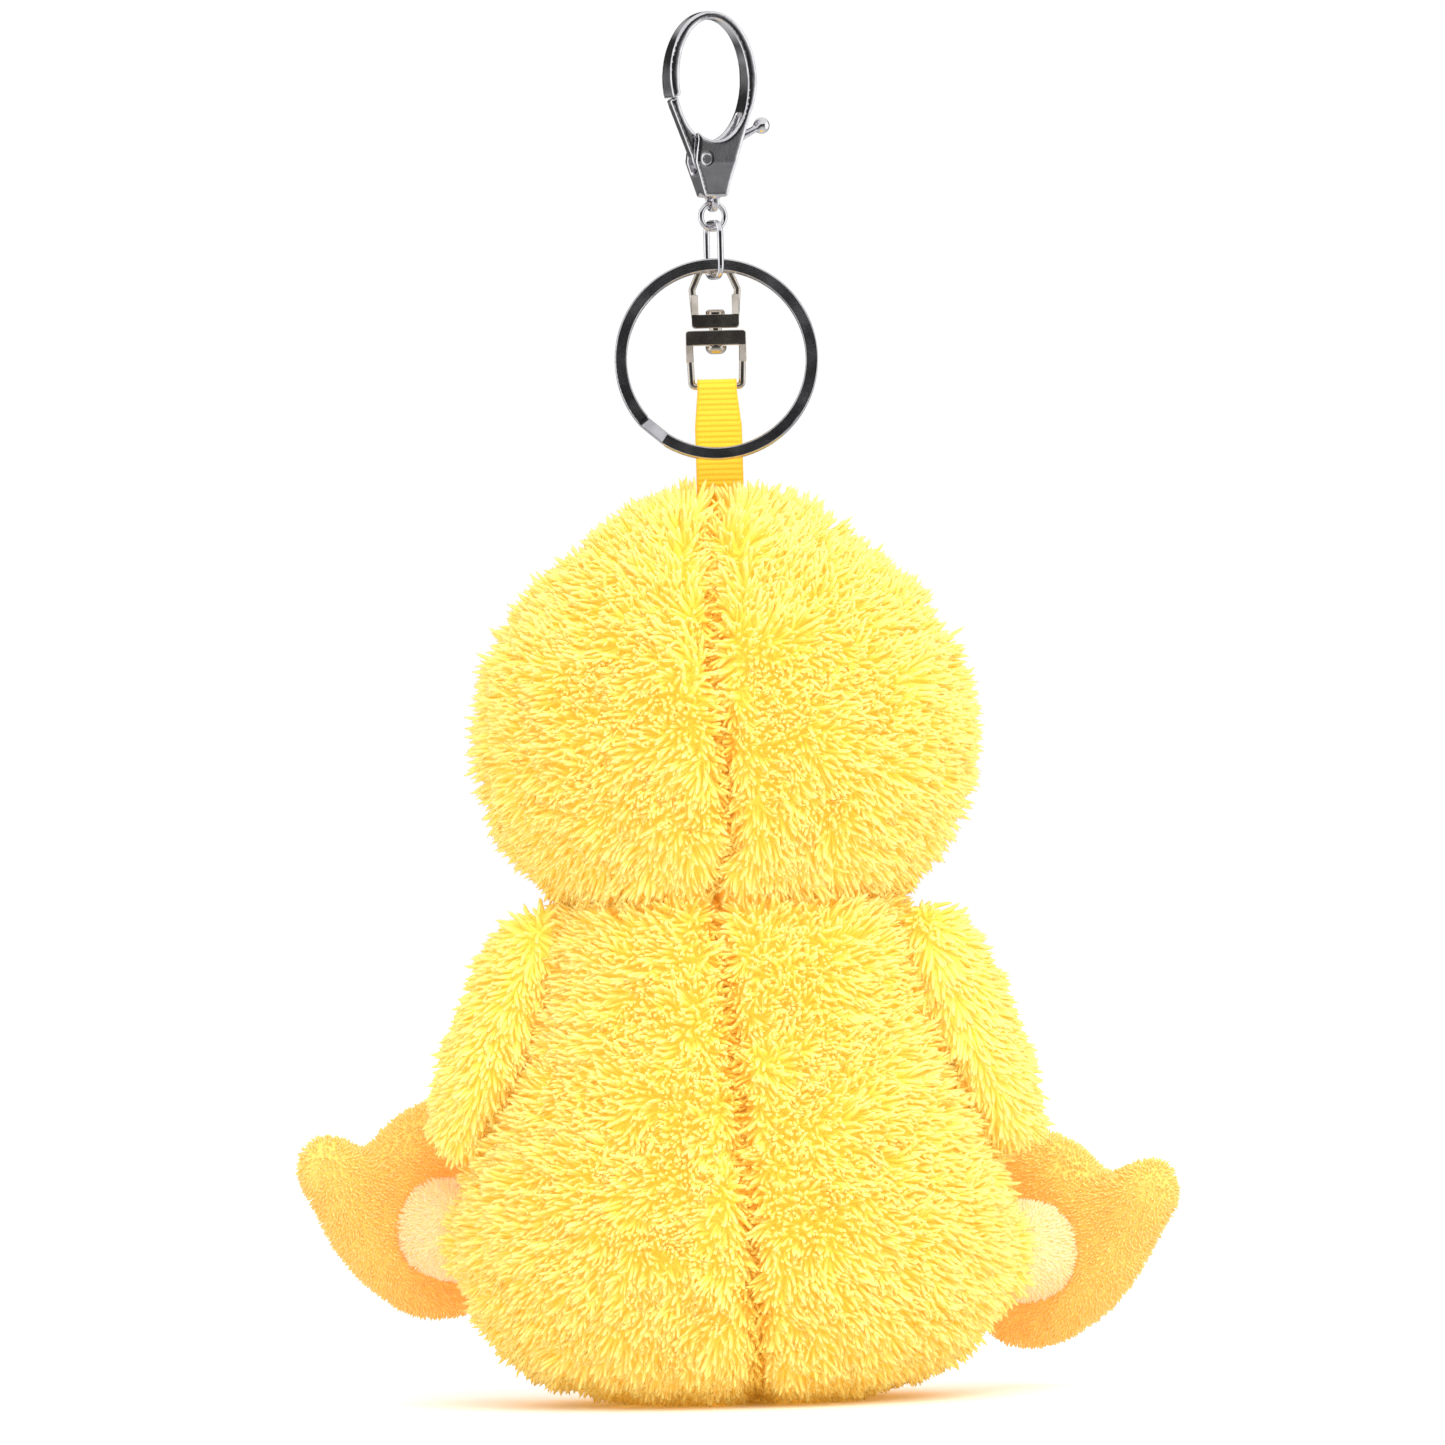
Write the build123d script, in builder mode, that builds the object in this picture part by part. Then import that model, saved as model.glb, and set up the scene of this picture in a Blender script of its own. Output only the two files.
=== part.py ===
"""Plush duckling keychain: trigger clasp, two links, split key ring, swivel and a stuffed seated duckling.

Millimetres, +Z up, the duckling faces -Y and its left is +X. The origin is the centre of the
clasp's hook, from which the whole keychain hangs.
"""

import os
from math import cos, radians, sin, sqrt

from build123d import *

os.makedirs("parts", exist_ok=True)

# ---- driving dimensions ----
fit = 0.06  # radial clearance of a shaft that turns in its hole
chain_turn = 22  # the clasp and both links hang turned this far about Z

hook_top = 5.3  # height of the hook's crown above the origin
loop_half_width = 6.85
loop_half_height = 9.7
loop_wall_side = 1.35
loop_wall_crown = 1.2
tail_half_width = 1.7
tail_bottom = -22.2
lever_slot = 2.3  # width of the slot between the two cheeks
lever_thickness = 2.0
pivot_side, pivot_height = 1.6, -16.6
pivot_radius = 0.6
gate_reach = 10.1  # from the pivot to the parting line at the hook's tip
spring_wire = 0.2
spring_radius = 0.5
spring_side = -1.05
spring_bottom, spring_top = -19.6, -16.6

eye_height = -22.75  # hole in the clasp's tail
eye_radius = 1.0
eye_lug_radius = 1.65
eye_lug_thickness = 1.1

upper_link_radius = 1.9  # to the middle of the wire
upper_link_wire = 0.8
lower_link_wire = 0.9
lower_link_width = 5.4  # between the middles of the two sides
lower_link_length = 7.9
link_play = 0.04  # gap where one link rests in the next

ring_outer_radius = 15.0
ring_band = 1.8
ring_turn_thickness = 0.8
ring_tilt = 8  # the key ring leans out over the ribbon
ring_offset = 0.75  # the ring's middle, in front of the links' middle

swivel_depth = -1.1  # the swivel's axis, behind the links' middle
swivel_strip = 3.0
arch_wire = 1.0
bail_plate = 2.0
upper_bail_half_width = 3.85
upper_bail_plate_bottom = -41.5
lower_bail_half_width = 4.45
lower_bail_bar_height = -50.1
swivel_gap = 0.35
rivet_radius = 0.9
rivet_head_radius = 1.55

ribbon_width = 7.0
ribbon_fold_width = 5.9
ribbon_thickness = 0.5
ribbon_end = -69.0

plush_centre = -1.1  # the plush hangs on the swivel's axis
cover = 2.0  # thickness of the fur covers
sewing_gap = 0.1
head_depth_ratio = 0.86
body_depth_ratio = 0.86
seat_height = -200.2
seat_panel_top = -197.2

hip_ball = 9.4
hip_clearance = 0.45
leg_radius = 7.7
leg_start, leg_end = 6.0, 18.0
foot_thickness = 8.5

eye_bead_radius = 3.4
eye_post_radius = 1.2
eye_side, eye_level = 13.5, -93.0
washer_radius = 4.0


def write(shape, name):
    shape.label = name
    export_step(shape, f"parts/{name}.step")


def turned(side, depth, height):
    """A point of the turned chain: side runs along the clasp's face and depth through it."""
    a = radians(chain_turn)
    return (side * cos(a) - depth * sin(a), side * sin(a) + depth * cos(a), height)


# Planes of the turned chain: its face, its edge-on section and the level plane.
turned_side = Vector(*turned(1, 0, 0))
turned_depth = Vector(*turned(0, 1, 0))
clasp_face = Plane(origin=(0, 0, 0), x_dir=turned_side, z_dir=-turned_depth)
clasp_section = Plane(origin=(0, 0, 0), x_dir=turned_depth, z_dir=turned_side)

# ---- clasp body: hook loop, two cheeks, tail with its eye ----
loop_centre = hook_top - loop_half_height
opening_half_width = loop_half_width - loop_wall_side
opening_half_height = loop_half_height - loop_wall_crown * 0.6
opening_centre = hook_top - loop_wall_crown - opening_half_height
slot_floor = -19.8

with BuildPart() as clasp_body:
    # face view: an oval loop that tapers to the tail
    with BuildSketch(clasp_face):
        with Locations((0, loop_centre)):
            Ellipse(loop_half_width, loop_half_height)
        with BuildLine():
            Polyline(
                (-loop_half_width + 0.1, -6.5),
                (-tail_half_width - 0.5, tail_bottom + 2.2),
                (-tail_half_width, tail_bottom),
                (tail_half_width, tail_bottom),
                (tail_half_width + 1.6, -17.0),
                (tail_half_width + 1.0, -12.5),
                (0, -8),
                close=True,
            )
        make_face()
        with Locations((0, opening_centre)):
            Ellipse(opening_half_width, opening_half_height, mode=Mode.SUBTRACT)
        # the gate's gap, from the hook's tip down to the pivot
        with BuildLine():
            Polyline((2.2, -9.5), (5.4, -6.0), (9, -6.0), (9, -22), (3.4, -22), (3.4, -14.6), close=True)
        make_face(mode=Mode.SUBTRACT)
    extrude(amount=3, both=True)
    # the hook's tip is kept where it is farther from the pivot than the gate reaches
    with BuildSketch(clasp_face):
        with Locations((0, loop_centre)):
            Ellipse(loop_half_width, loop_half_height)
        with Locations((0, opening_centre)):
            Ellipse(opening_half_width, opening_half_height, mode=Mode.SUBTRACT)
        with Locations((loop_half_width, -6.5)):
            Rectangle(7, 7, mode=Mode.INTERSECT)
        with Locations((pivot_side, pivot_height)):
            Circle(gate_reach + 0.15, mode=Mode.SUBTRACT)
    extrude(amount=3, both=True)
    # side view: slim at the crown, deepest at the cheeks, slimmer again at the tail
    with BuildSketch(clasp_section):
        with BuildLine():
            Polyline(
                (-1.3, hook_top + 1),
                (-2.35, -11),
                (-2.45, -17),
                (-1.65, tail_bottom - 3),
                (1.65, tail_bottom - 3),
                (2.45, -17),
                (2.35, -11),
                (1.3, hook_top + 1),
                close=True,
            )
        make_face()
    extrude(amount=12, both=True, mode=Mode.INTERSECT)
    # the slot between the cheeks, open to the hook and to the thumb side
    with BuildSketch(clasp_face):
        with BuildLine():
            Polyline(
                (9, -9),
                (9, -18.6),
                (2.1, -18.6),
                (0.9, slot_floor),
                (-1.75, slot_floor),
                (-3.3, -17.4),
                (-9, -17.4),
                (-9, -10.2),
                close=True,
            )
        make_face()
    extrude(amount=lever_slot / 2, both=True, mode=Mode.SUBTRACT)
    # tail lug with the eye, thin enough for the round link
    with BuildSketch(clasp_section):
        with Locations((0, eye_height)):
            Circle(eye_lug_radius)
        with Locations((0, eye_height + 1.2)):
            Rectangle(2 * eye_lug_radius, 1.4)
    extrude(amount=eye_lug_thickness / 2, both=True)
    with BuildSketch(clasp_section):
        with Locations((0, eye_height)):
            Circle(eye_radius)
    extrude(amount=3, both=True, mode=Mode.SUBTRACT)
    # the rivet's hole through both cheeks
    with BuildSketch(clasp_face):
        with Locations((pivot_side, pivot_height)):
            Circle(pivot_radius)
    extrude(amount=4, both=True, mode=Mode.SUBTRACT)
write(clasp_body.part, "clasp_body")

# ---- lever: gate, hub, side arm and thumb ball ----
thumb_side, thumb_height = -8.1, -11.7
with BuildPart() as clasp_lever:
    with BuildSketch(clasp_face):
        with BuildLine():
            Polyline(
                (7.5, -5.0),
                (6.35, -8.6),
                (3.35, -16.3),
                (pivot_side, pivot_height - 1.0),
                (0.2, -15.6),
                (1.3, -10),
                (3.0, -5.0),
                close=True,
            )
        make_face()
        with Locations((0, opening_centre)):
            Ellipse(opening_half_width + fit, opening_half_height + fit, mode=Mode.SUBTRACT)
        with Locations((pivot_side, pivot_height)):
            Circle(gate_reach, mode=Mode.INTERSECT)
            Circle(1.7)
        # side arm towards the thumb ball
        with BuildLine():
            Polyline(
                (pivot_side, pivot_height + 1.2),
                (-4.6, -12.7),
                (thumb_side, thumb_height + 0.35),
                (thumb_side, thumb_height - 0.35),
                (-4.6, -14.0),
                (pivot_side, pivot_height - 0.4),
                close=True,
            )
        make_face()
        with Locations((pivot_side, pivot_height)):
            Circle(pivot_radius + fit, mode=Mode.SUBTRACT)
    extrude(amount=lever_thickness / 2, both=True)
    with Locations(Location(turned(thumb_side, 0, thumb_height), (0, 0, 180))):
        Sphere(1.25)
write(clasp_lever.part, "clasp_lever")

# ---- rivet on which the lever turns ----
with BuildPart() as lever_pin:
    with BuildSketch(clasp_face):
        with Locations((pivot_side, pivot_height)):
            Circle(pivot_radius)
    extrude(amount=2.6, both=True)
write(lever_pin.part, "lever_pin")

# ---- coil spring under the lever's side arm ----
with BuildPart() as lever_spring:
    with BuildLine(Plane(origin=turned(spring_side, 0, spring_bottom + spring_wire / 2))) as coil:
        Helix(pitch=0.58, height=spring_top - spring_bottom - spring_wire, radius=spring_radius)
    with BuildSketch(Plane(origin=coil.line @ 0, z_dir=coil.line % 0)):
        Circle(spring_wire / 2)
    sweep(path=coil.line, is_frenet=True)
write(lever_spring.part, "lever_spring")

# ---- round upper link through the eye ----
upper_link_top = eye_height - eye_radius + upper_link_wire / 2 + link_play + 0.2
upper_link_centre = upper_link_top - upper_link_radius
with BuildPart() as chain_link_upper:
    with BuildSketch(clasp_section):
        with Locations((0, upper_link_top)):
            Circle(upper_link_wire / 2)
    revolve(axis=Axis(turned(0, 0, upper_link_centre), turned_depth))
write(chain_link_upper.part, "chain_link_upper")

# ---- long lower link, edge-on to the upper one ----
upper_link_bottom = upper_link_centre - upper_link_radius
lower_link_top = upper_link_bottom + (upper_link_wire + lower_link_wire) / 2 + link_play
lower_link_bottom = lower_link_top - lower_link_length
with BuildPart() as chain_link_lower:
    half_width = lower_link_width / 2
    with BuildLine(clasp_section) as link_path:
        FilletPolyline(
            (-half_width, lower_link_bottom),
            (half_width, lower_link_bottom),
            (half_width, lower_link_top),
            (-half_width, lower_link_top),
            close=True,
            radius=1.6,
        )
    with BuildSketch(Plane(origin=link_path.line @ 0, z_dir=link_path.line % 0)):
        Circle(lower_link_wire / 2)
    sweep(path=link_path.line)
write(chain_link_lower.part, "chain_link_lower")

# ---- flat split ring of two turns, joined by a short ramp ----
link_rest = lower_link_bottom + lower_link_wire / 2  # inside of the lower link's bottom
ring_pivot_height = link_rest + 1.25
ring_middle = ring_outer_radius - ring_band / 2
tilt = radians(ring_tilt)
ring_normal = Vector(0, cos(tilt), sin(tilt))
ring_down = Vector(0, sin(tilt), -cos(tilt))
ring_centre = Vector(0, ring_offset, ring_pivot_height) + ring_down * ring_middle
turn_level = (ring_turn_thickness + 0.05) / 2
ramp_start, ramp_end, turn_end_gap = 40, 56, 1.5  # degrees round the ring, from +X


def ring_section(angle):
    """The plane that cuts the ring's band at this angle; x runs out along the radius."""
    a = radians(angle)
    outward = Vector(cos(a), 0, 0) + ring_down * sin(a)
    along = Vector(-sin(a), 0, 0) + ring_down * cos(a)
    return Plane(origin=ring_centre, x_dir=outward, z_dir=along)


def band_section(angle, level):
    """The band's outline at this angle, on the front or the back turn's level."""
    with BuildSketch(ring_section(angle)) as outline:
        with Locations((ring_middle, level)):
            RectangleRounded(ring_band, ring_turn_thickness, 0.22)
    return outline.sketch


with BuildPart() as split_ring:
    front_start = ramp_end + turn_end_gap
    add(band_section(front_start, turn_level))
    add(band_section(ramp_end, -turn_level))
    revolve(axis=Axis(ring_centre, ring_normal), revolution_arc=360 + ramp_start - front_start)
    add(band_section(ramp_start, turn_level))
    add(band_section(ramp_end, -turn_level))
    loft()
write(split_ring.part, "split_ring")

# ---- swivel: upper bail, rivet and lower bail on one upright axis ----
swivel_face = Plane(origin=(0, swivel_depth, 0), x_dir=(1, 0, 0), z_dir=(0, -1, 0))
swivel_section = Plane(origin=(0, swivel_depth, 0), x_dir=(0, 1, 0), z_dir=(1, 0, 0))
wire_radius = arch_wire / 2
arch_height = link_rest + wire_radius + link_play
upper_plate_top = upper_bail_plate_bottom + bail_plate
lower_plate_top = upper_bail_plate_bottom - swivel_gap
lower_plate_bottom = lower_plate_top - bail_plate - 0.2


def bail_wire(*points):
    """A bent round wire through these points of the swivel's face."""
    with BuildPart() as wire:
        with BuildLine(swivel_face) as path:
            FilletPolyline(*points, radius=0.6)
        with BuildSketch(Plane(origin=path.line @ 0, z_dir=path.line % 0)):
            Circle(wire_radius)
        sweep(path=path.line)
    return wire.part


def bail_plate_with_ears(half_width, low, high, ear_end):
    """The flat plate and its two ears, which narrow to the wire towards ear_end."""
    near, far = (low, high) if ear_end < low else (high, low)
    with BuildPart() as plate:
        with BuildSketch(swivel_face):
            with Locations((0, (low + high) / 2)):
                RectangleRounded(2 * half_width, high - low, 0.5)
            for side in (-1, 1):
                with Locations((side * (half_width - 0.5), (low + high + 2 * ear_end) / 4)):
                    Rectangle(1.0, abs(ear_end - (low + high) / 2))
        extrude(amount=swivel_strip / 2, both=True)
        with BuildSketch(swivel_section):
            with BuildLine():
                Polyline(
                    (-swivel_strip / 2, far),
                    (-swivel_strip / 2, near),
                    (-wire_radius, ear_end),
                    (wire_radius, ear_end),
                    (swivel_strip / 2, near),
                    (swivel_strip / 2, far),
                    close=True,
                )
            make_face()
        extrude(amount=10, both=True, mode=Mode.INTERSECT)
    return plate.part


with BuildPart() as swivel_upper_bail:
    add(bail_plate_with_ears(upper_bail_half_width - 0.35, upper_bail_plate_bottom, upper_plate_top, -36.6))
    upper_wire = bail_wire(
        (-upper_bail_half_width + 0.85, upper_plate_top - 0.8),
        (-upper_bail_half_width + 0.5, -35.8),
        (-2.1, arch_height),
        (2.1, arch_height),
        (upper_bail_half_width - 0.5, -35.8),
        (upper_bail_half_width - 0.85, upper_plate_top - 0.8),
    )
    add(upper_wire)
    with BuildSketch(Plane.XY.offset(upper_bail_plate_bottom)):
        with Locations((0, swivel_depth)):
            Circle(rivet_radius)
    extrude(amount=bail_plate, mode=Mode.SUBTRACT)
write(swivel_upper_bail.part, "swivel_upper_bail")

with BuildPart() as swivel_lower_bail:
    add(bail_plate_with_ears(lower_bail_half_width, lower_plate_bottom, lower_plate_top, -46.4))
    lower_wire = bail_wire(
        (-lower_bail_half_width + 0.55, lower_plate_bottom + 0.8),
        (-lower_bail_half_width + 0.6, -46.6),
        (-3.7, lower_bail_bar_height),
        (3.7, lower_bail_bar_height),
        (lower_bail_half_width - 0.6, -46.6),
        (lower_bail_half_width - 0.55, lower_plate_bottom + 0.8),
    )
    add(lower_wire)
    with BuildSketch(Plane.XY.offset(lower_plate_bottom)):
        with Locations((0, swivel_depth)):
            Circle(rivet_radius + fit + 0.02)
    extrude(amount=lower_plate_top - lower_plate_bottom, mode=Mode.SUBTRACT)
write(swivel_lower_bail.part, "swivel_lower_bail")

with BuildPart() as swivel_rivet:
    shank_bottom = lower_plate_bottom - 0.1
    with BuildSketch(Plane.XY.offset(shank_bottom)):
        with Locations((0, swivel_depth)):
            Circle(rivet_radius)
    extrude(amount=upper_plate_top - shank_bottom)
    with BuildSketch(Plane.XY.offset(upper_plate_top)):
        with Locations((0, swivel_depth)):
            Circle(rivet_head_radius - 0.15)
    extrude(amount=0.75)
    fillet(swivel_rivet.edges().sort_by(Axis.Z)[-1], 0.5)
    with BuildSketch(Plane.XY.offset(shank_bottom)):
        with Locations((0, swivel_depth)):
            Circle(rivet_head_radius)
    extrude(amount=-1.2)
    fillet(swivel_rivet.edges().sort_by(Axis.Z)[0], 1.0)
write(swivel_rivet.part, "swivel_rivet")

# ---- grosgrain loop: folded over the lower bail's bar, both layers sewn into the head ----
fold_inner = wire_radius + 0.1
fold_outer = fold_inner + ribbon_thickness
merge_height = lower_bail_bar_height - 3.2
with BuildPart() as ribbon_loop:
    with BuildSketch(swivel_section):
        with Locations((0, lower_bail_bar_height)):
            Circle(fold_outer)
        with BuildLine():
            Polyline(
                (-fold_outer, lower_bail_bar_height),
                (-ribbon_thickness, merge_height),
                (-ribbon_thickness, ribbon_end),
                (ribbon_thickness, ribbon_end),
                (ribbon_thickness, merge_height),
                (fold_outer, lower_bail_bar_height),
                close=True,
            )
        make_face()
        with Locations((0, lower_bail_bar_height)):
            Circle(fold_inner, mode=Mode.SUBTRACT)
    extrude(amount=ribbon_width / 2, both=True)
    with BuildSketch(swivel_face):
        with BuildLine():
            Polyline(
                (-ribbon_fold_width / 2, lower_bail_bar_height + 2),
                (-ribbon_fold_width / 2, lower_bail_bar_height - 0.8),
                (-ribbon_width / 2, lower_bail_bar_height - 6),
                (-ribbon_width / 2, ribbon_end),
                (ribbon_width / 2, ribbon_end),
                (ribbon_width / 2, lower_bail_bar_height - 6),
                (ribbon_fold_width / 2, lower_bail_bar_height - 0.8),
                (ribbon_fold_width / 2, lower_bail_bar_height + 2),
                close=True,
            )
        make_face()
    extrude(amount=3, both=True, mode=Mode.INTERSECT)
write(ribbon_loop.part, "ribbon_loop")

# ---- stuffed forms: ovals stacked along a line ----
# each oval: distance along the line, half width (the wider way), half depth
plush_base = Plane(origin=(0, plush_centre, 0), x_dir=(1, 0, 0), z_dir=(0, 0, 1))
head_ovals = [
    (level, half_width, half_width * head_depth_ratio)
    for level, half_width in (
        (-125.2, 21.0),
        (-122.0, 28.0),
        (-113.5, 34.0),
        (-102.0, 36.6),
        (-89.0, 33.6),
        (-76.8, 25.6),
        (-68.2, 15.8),
        (-64.0, 8.0),
    )
]
body_ovals = [
    (level, half_width, half_width * body_depth_ratio)
    for level, half_width in (
        (seat_height, 17.0),
        (-196.5, 24.5),
        (-189.0, 32.0),
        (-178.0, 36.4),
        (-164.0, 35.4),
        (-148.0, 30.6),
        (-135.0, 27.2),
        (-128.0, 25.0),
        (-125.5, 21.0),
    )
]


def stacked(plane, ovals, inset=0.0):
    """A closed form through the ovals; inset pulls its whole surface in by that much."""
    first, last = ovals[0][0], ovals[-1][0]
    middle, half_length = (first + last) / 2, abs(last - first) / 2
    with BuildPart() as form:
        for level, half_width, half_depth in ovals:
            shrunk = middle + (level - middle) * (1 - inset / half_length)
            with BuildSketch(plane.offset(shrunk)):
                Ellipse(half_width - inset, half_depth - inset)
        loft()
    return form.part


def front_of_head(side, level):
    """The point of the head's outside in front, and the direction straight out of it."""
    above = min((o for o in head_ovals if o[0] >= level), key=lambda o: o[0])
    below = max((o for o in head_ovals if o[0] <= level), key=lambda o: o[0])
    growth = (above[1] - below[1]) / (above[0] - below[0])
    half_width = below[1] + growth * (level - below[0])
    half_depth = half_width * head_depth_ratio
    depth = half_depth * sqrt(1 - (side / half_width) ** 2)
    outward = Vector(side / half_width**2, -depth / half_depth**2, -growth / half_width)
    return Vector(side, plush_centre - depth, level), outward.normalized()


def eye_plane(side):
    """x, y across the eye, z straight out of the head."""
    point, outward = front_of_head(side * eye_side, eye_level)
    return Plane(origin=point + outward * 0.3, x_dir=Vector(0, 0, 1).cross(outward), z_dir=outward)


def eye_holes(radius, reach):
    """Round holes for both eyes' posts, from outside the head to this reach inside it."""
    with BuildPart() as holes:
        for side in (-1, 1):
            with BuildSketch(eye_plane(side).offset(1.5)):
                Circle(radius)
        extrude(amount=-reach - 1.5)
    return holes.part


def ribbon_slot():
    """Room for both layers of the loop in the head's top seam."""
    with BuildPart() as slot:
        with BuildSketch(Plane.XY.offset(ribbon_end - 0.2)):
            with Locations((0, swivel_depth)):
                Rectangle(ribbon_width + 0.2, 2 * ribbon_thickness + 0.2)
        extrude(amount=30)
    return slot.part


# hips: the legs leave the body sideways and forward, the left one a little higher
hips = {
    1: (Vector(34.5, -6.5, -175.8), Vector(0.64, -0.76, 0.12).normalized()),
    -1: (Vector(-34.5, -6.5, -179.6), Vector(-0.62, -0.78, 0.0).normalized()),
}


def hip_sockets():
    """Round hollows in the body's sides, in which the thighs turn."""
    with BuildPart() as sockets:
        for hip, _direction in hips.values():
            with Locations(hip):
                Sphere(hip_ball + hip_clearance)
    return sockets.part


halves = {"left": Keep.TOP, "right": Keep.BOTTOM}

# ---- head: two cover panels that meet in the back and front seam, and their filling ----
for name, kept in halves.items():
    with BuildPart() as head_cover:
        add(stacked(plush_base, head_ovals))
        add(stacked(plush_base, head_ovals, inset=cover), mode=Mode.SUBTRACT)
        add(ribbon_slot(), mode=Mode.SUBTRACT)
        add(eye_holes(eye_post_radius + fit, 9), mode=Mode.SUBTRACT)
        split(bisect_by=Plane.YZ, keep=kept)
    write(head_cover.part, f"head_cover_{name}")

with BuildPart() as head_stuffing:
    add(stacked(plush_base, head_ovals, inset=cover + sewing_gap))
    add(ribbon_slot(), mode=Mode.SUBTRACT)
    add(eye_holes(washer_radius + 0.2, 10), mode=Mode.SUBTRACT)
write(head_stuffing.part, "head_stuffing")

# ---- body: two cover panels, the seat panel under them, and their filling ----
for name, kept in halves.items():
    with BuildPart() as body_cover:
        add(stacked(plush_base, body_ovals))
        add(stacked(plush_base, body_ovals, inset=cover), mode=Mode.SUBTRACT)
        add(hip_sockets(), mode=Mode.SUBTRACT)
        split(bisect_by=Plane.YZ, keep=kept)
        split(bisect_by=Plane.XY.offset(seat_panel_top), keep=Keep.TOP)
    write(body_cover.part, f"body_cover_{name}")

with BuildPart() as body_seat_panel:
    add(stacked(plush_base, body_ovals))
    add(stacked(plush_base, body_ovals, inset=cover), mode=Mode.SUBTRACT)
    split(bisect_by=Plane.XY.offset(seat_panel_top), keep=Keep.BOTTOM)
write(body_seat_panel.part, "body_seat_panel")

with BuildPart() as body_stuffing:
    add(stacked(plush_base, body_ovals, inset=cover + sewing_gap))
    add(hip_sockets(), mode=Mode.SUBTRACT)
write(body_stuffing.part, "body_stuffing")

# ---- safety eyes with their posts, and the lock washers behind the cover ----
for name, side in (("left", 1), ("right", -1)):
    with BuildPart() as eye:
        with BuildSketch(eye_plane(side).offset(0.35)):
            Circle(eye_bead_radius)
        extrude(amount=0.9)
        with BuildSketch(eye_plane(side).offset(1.25)):
            Circle(eye_bead_radius)
        with BuildSketch(eye_plane(side).offset(2.3)):
            Circle(eye_bead_radius * 0.78)
        loft()
        with BuildSketch(eye_plane(side).offset(2.3)):
            Circle(eye_bead_radius * 0.78)
        with BuildSketch(eye_plane(side).offset(2.85)):
            Circle(eye_bead_radius * 0.4)
        loft()
        with BuildSketch(eye_plane(side).offset(0.35)):
            Circle(eye_post_radius)
        extrude(amount=-7.7)
    write(eye.part, f"eye_{name}")
    with BuildPart() as eye_washer:
        with BuildSketch(eye_plane(side).offset(-cover - 1.3)):
            Circle(washer_radius)
            Circle(eye_post_radius + fit, mode=Mode.SUBTRACT)
        extrude(amount=-0.9)
    write(eye_washer.part, f"eye_washer_{name}")

# ---- bill: two padded halves sewn to the front of the head ----
bill_level = -104.0
for name, height, half_width, half_height, reach in (
    ("bill_upper", bill_level + 3.1, 11.5, 4.1, 8.5),
    ("bill_lower", bill_level - 3.7, 9.0, 2.5, 6.5),
):
    bill_root = plush_centre - 36.6 * head_depth_ratio + 3.0
    bill_plane = Plane(origin=(0, bill_root, height), x_dir=(1, 0, 0), z_dir=(0, -1, 0))
    with BuildPart() as bill:
        add(stacked(
            bill_plane,
            [
                (0, half_width, half_height),
                (reach * 0.55, half_width * 0.94, half_height * 0.92),
                (reach + 1, half_width * 0.72, half_height * 0.66),
                (reach + 3, half_width * 0.4, half_height * 0.36),
            ],
        ))
        add(stacked(plush_base, head_ovals, inset=-sewing_gap), mode=Mode.SUBTRACT)
    write(bill.part, name)

# ---- wings: flat stuffed pads that hang beside the body from the shoulder seams ----
shoulder_depth = 2.0
wing_lean = 17.0  # degrees outwards from the shoulder down
for name, side in (("left", 1), ("right", -1)):
    lean = radians(wing_lean)
    down = Vector(side * sin(lean), 0, -cos(lean))
    wing_plane = Plane(origin=(side * 32.2, shoulder_depth, -128.2), x_dir=(0, 1, 0), z_dir=down)
    with BuildPart() as wing:
        add(stacked(
            wing_plane,
            [
                (0, 3.6, 1.8),
                (2.6, 8.2, 3.6),
                (10, 11.8, 5.4),
                (21, 13.4, 6.1),
                (31, 11.2, 5.2),
                (36.5, 6.6, 3.2),
                (38.2, 3.4, 1.7),
            ],
        ))
    write(wing.part, f"wing_{name}")

# ---- legs: fur sleeve at the hip, leg tube, padded webbed foot ----
# heel, outer edge, two toes with the web between them, inner edge
foot_outline = [
    (-12.5, -10.5),
    (-3.0, -11.0),
    (6.5, -6.5),
    (13.5, 1.5),
    (18.5, 9.0),
    (16.5, 13.0),
    (9.5, 12.4),
    (4.5, 15.5),
    (-2.5, 19.5),
    (-8.0, 18.0),
    (-11.5, 8.0),
    (-14.5, -4.0),
]
for name, side in (("left", 1), ("right", -1)):
    hip, direction = hips[side]
    across = Vector(0, 0, 1).cross(direction).normalized()
    leg_plane = Plane(origin=hip, x_dir=across, z_dir=direction)

    with BuildPart() as thigh:
        with BuildSketch(Plane(origin=hip, x_dir=direction, z_dir=across)):
            with BuildLine():
                CenterArc((0, 0), hip_ball, 0, 180)
                Line((-hip_ball, 0), (hip_ball, 0))
            make_face()
        revolve(axis=Axis(hip, direction))
        split(bisect_by=leg_plane.offset(leg_start), keep=Keep.BOTTOM)
    write(thigh.part, f"thigh_{name}")

    with BuildPart() as leg:
        with BuildSketch(leg_plane.offset(leg_start)):
            Circle(sqrt(hip_ball**2 - leg_start**2) - 0.05)
        with BuildSketch(leg_plane.offset(leg_start + 2.5)):
            Circle(leg_radius)
        with BuildSketch(leg_plane.offset(leg_end)):
            Circle(leg_radius - 0.4)
        loft(ruled=True)
    write(leg.part, f"leg_{name}")

    # the outline's x runs outwards across the sole and y up; the pad is thickest halfway through
    with BuildPart() as foot:
        for share, size in ((0, 0.8), (0.2, 0.95), (0.5, 1), (0.8, 0.95), (1, 0.8)):
            with BuildSketch(leg_plane.offset(leg_end + share * foot_thickness)):
                with BuildLine():
                    Spline(*[(side * x * size, y * size) for x, y in foot_outline], periodic=True)
                make_face()
        loft()
    write(foot.part, f"foot_{name}")
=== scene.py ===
"""Plush duckling keychain: the finished look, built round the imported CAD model.

Metres, +Z up. The duckling faces -Y and its left is +X. The origin is the middle of the
clasp's hook.
"""

import math

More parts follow.
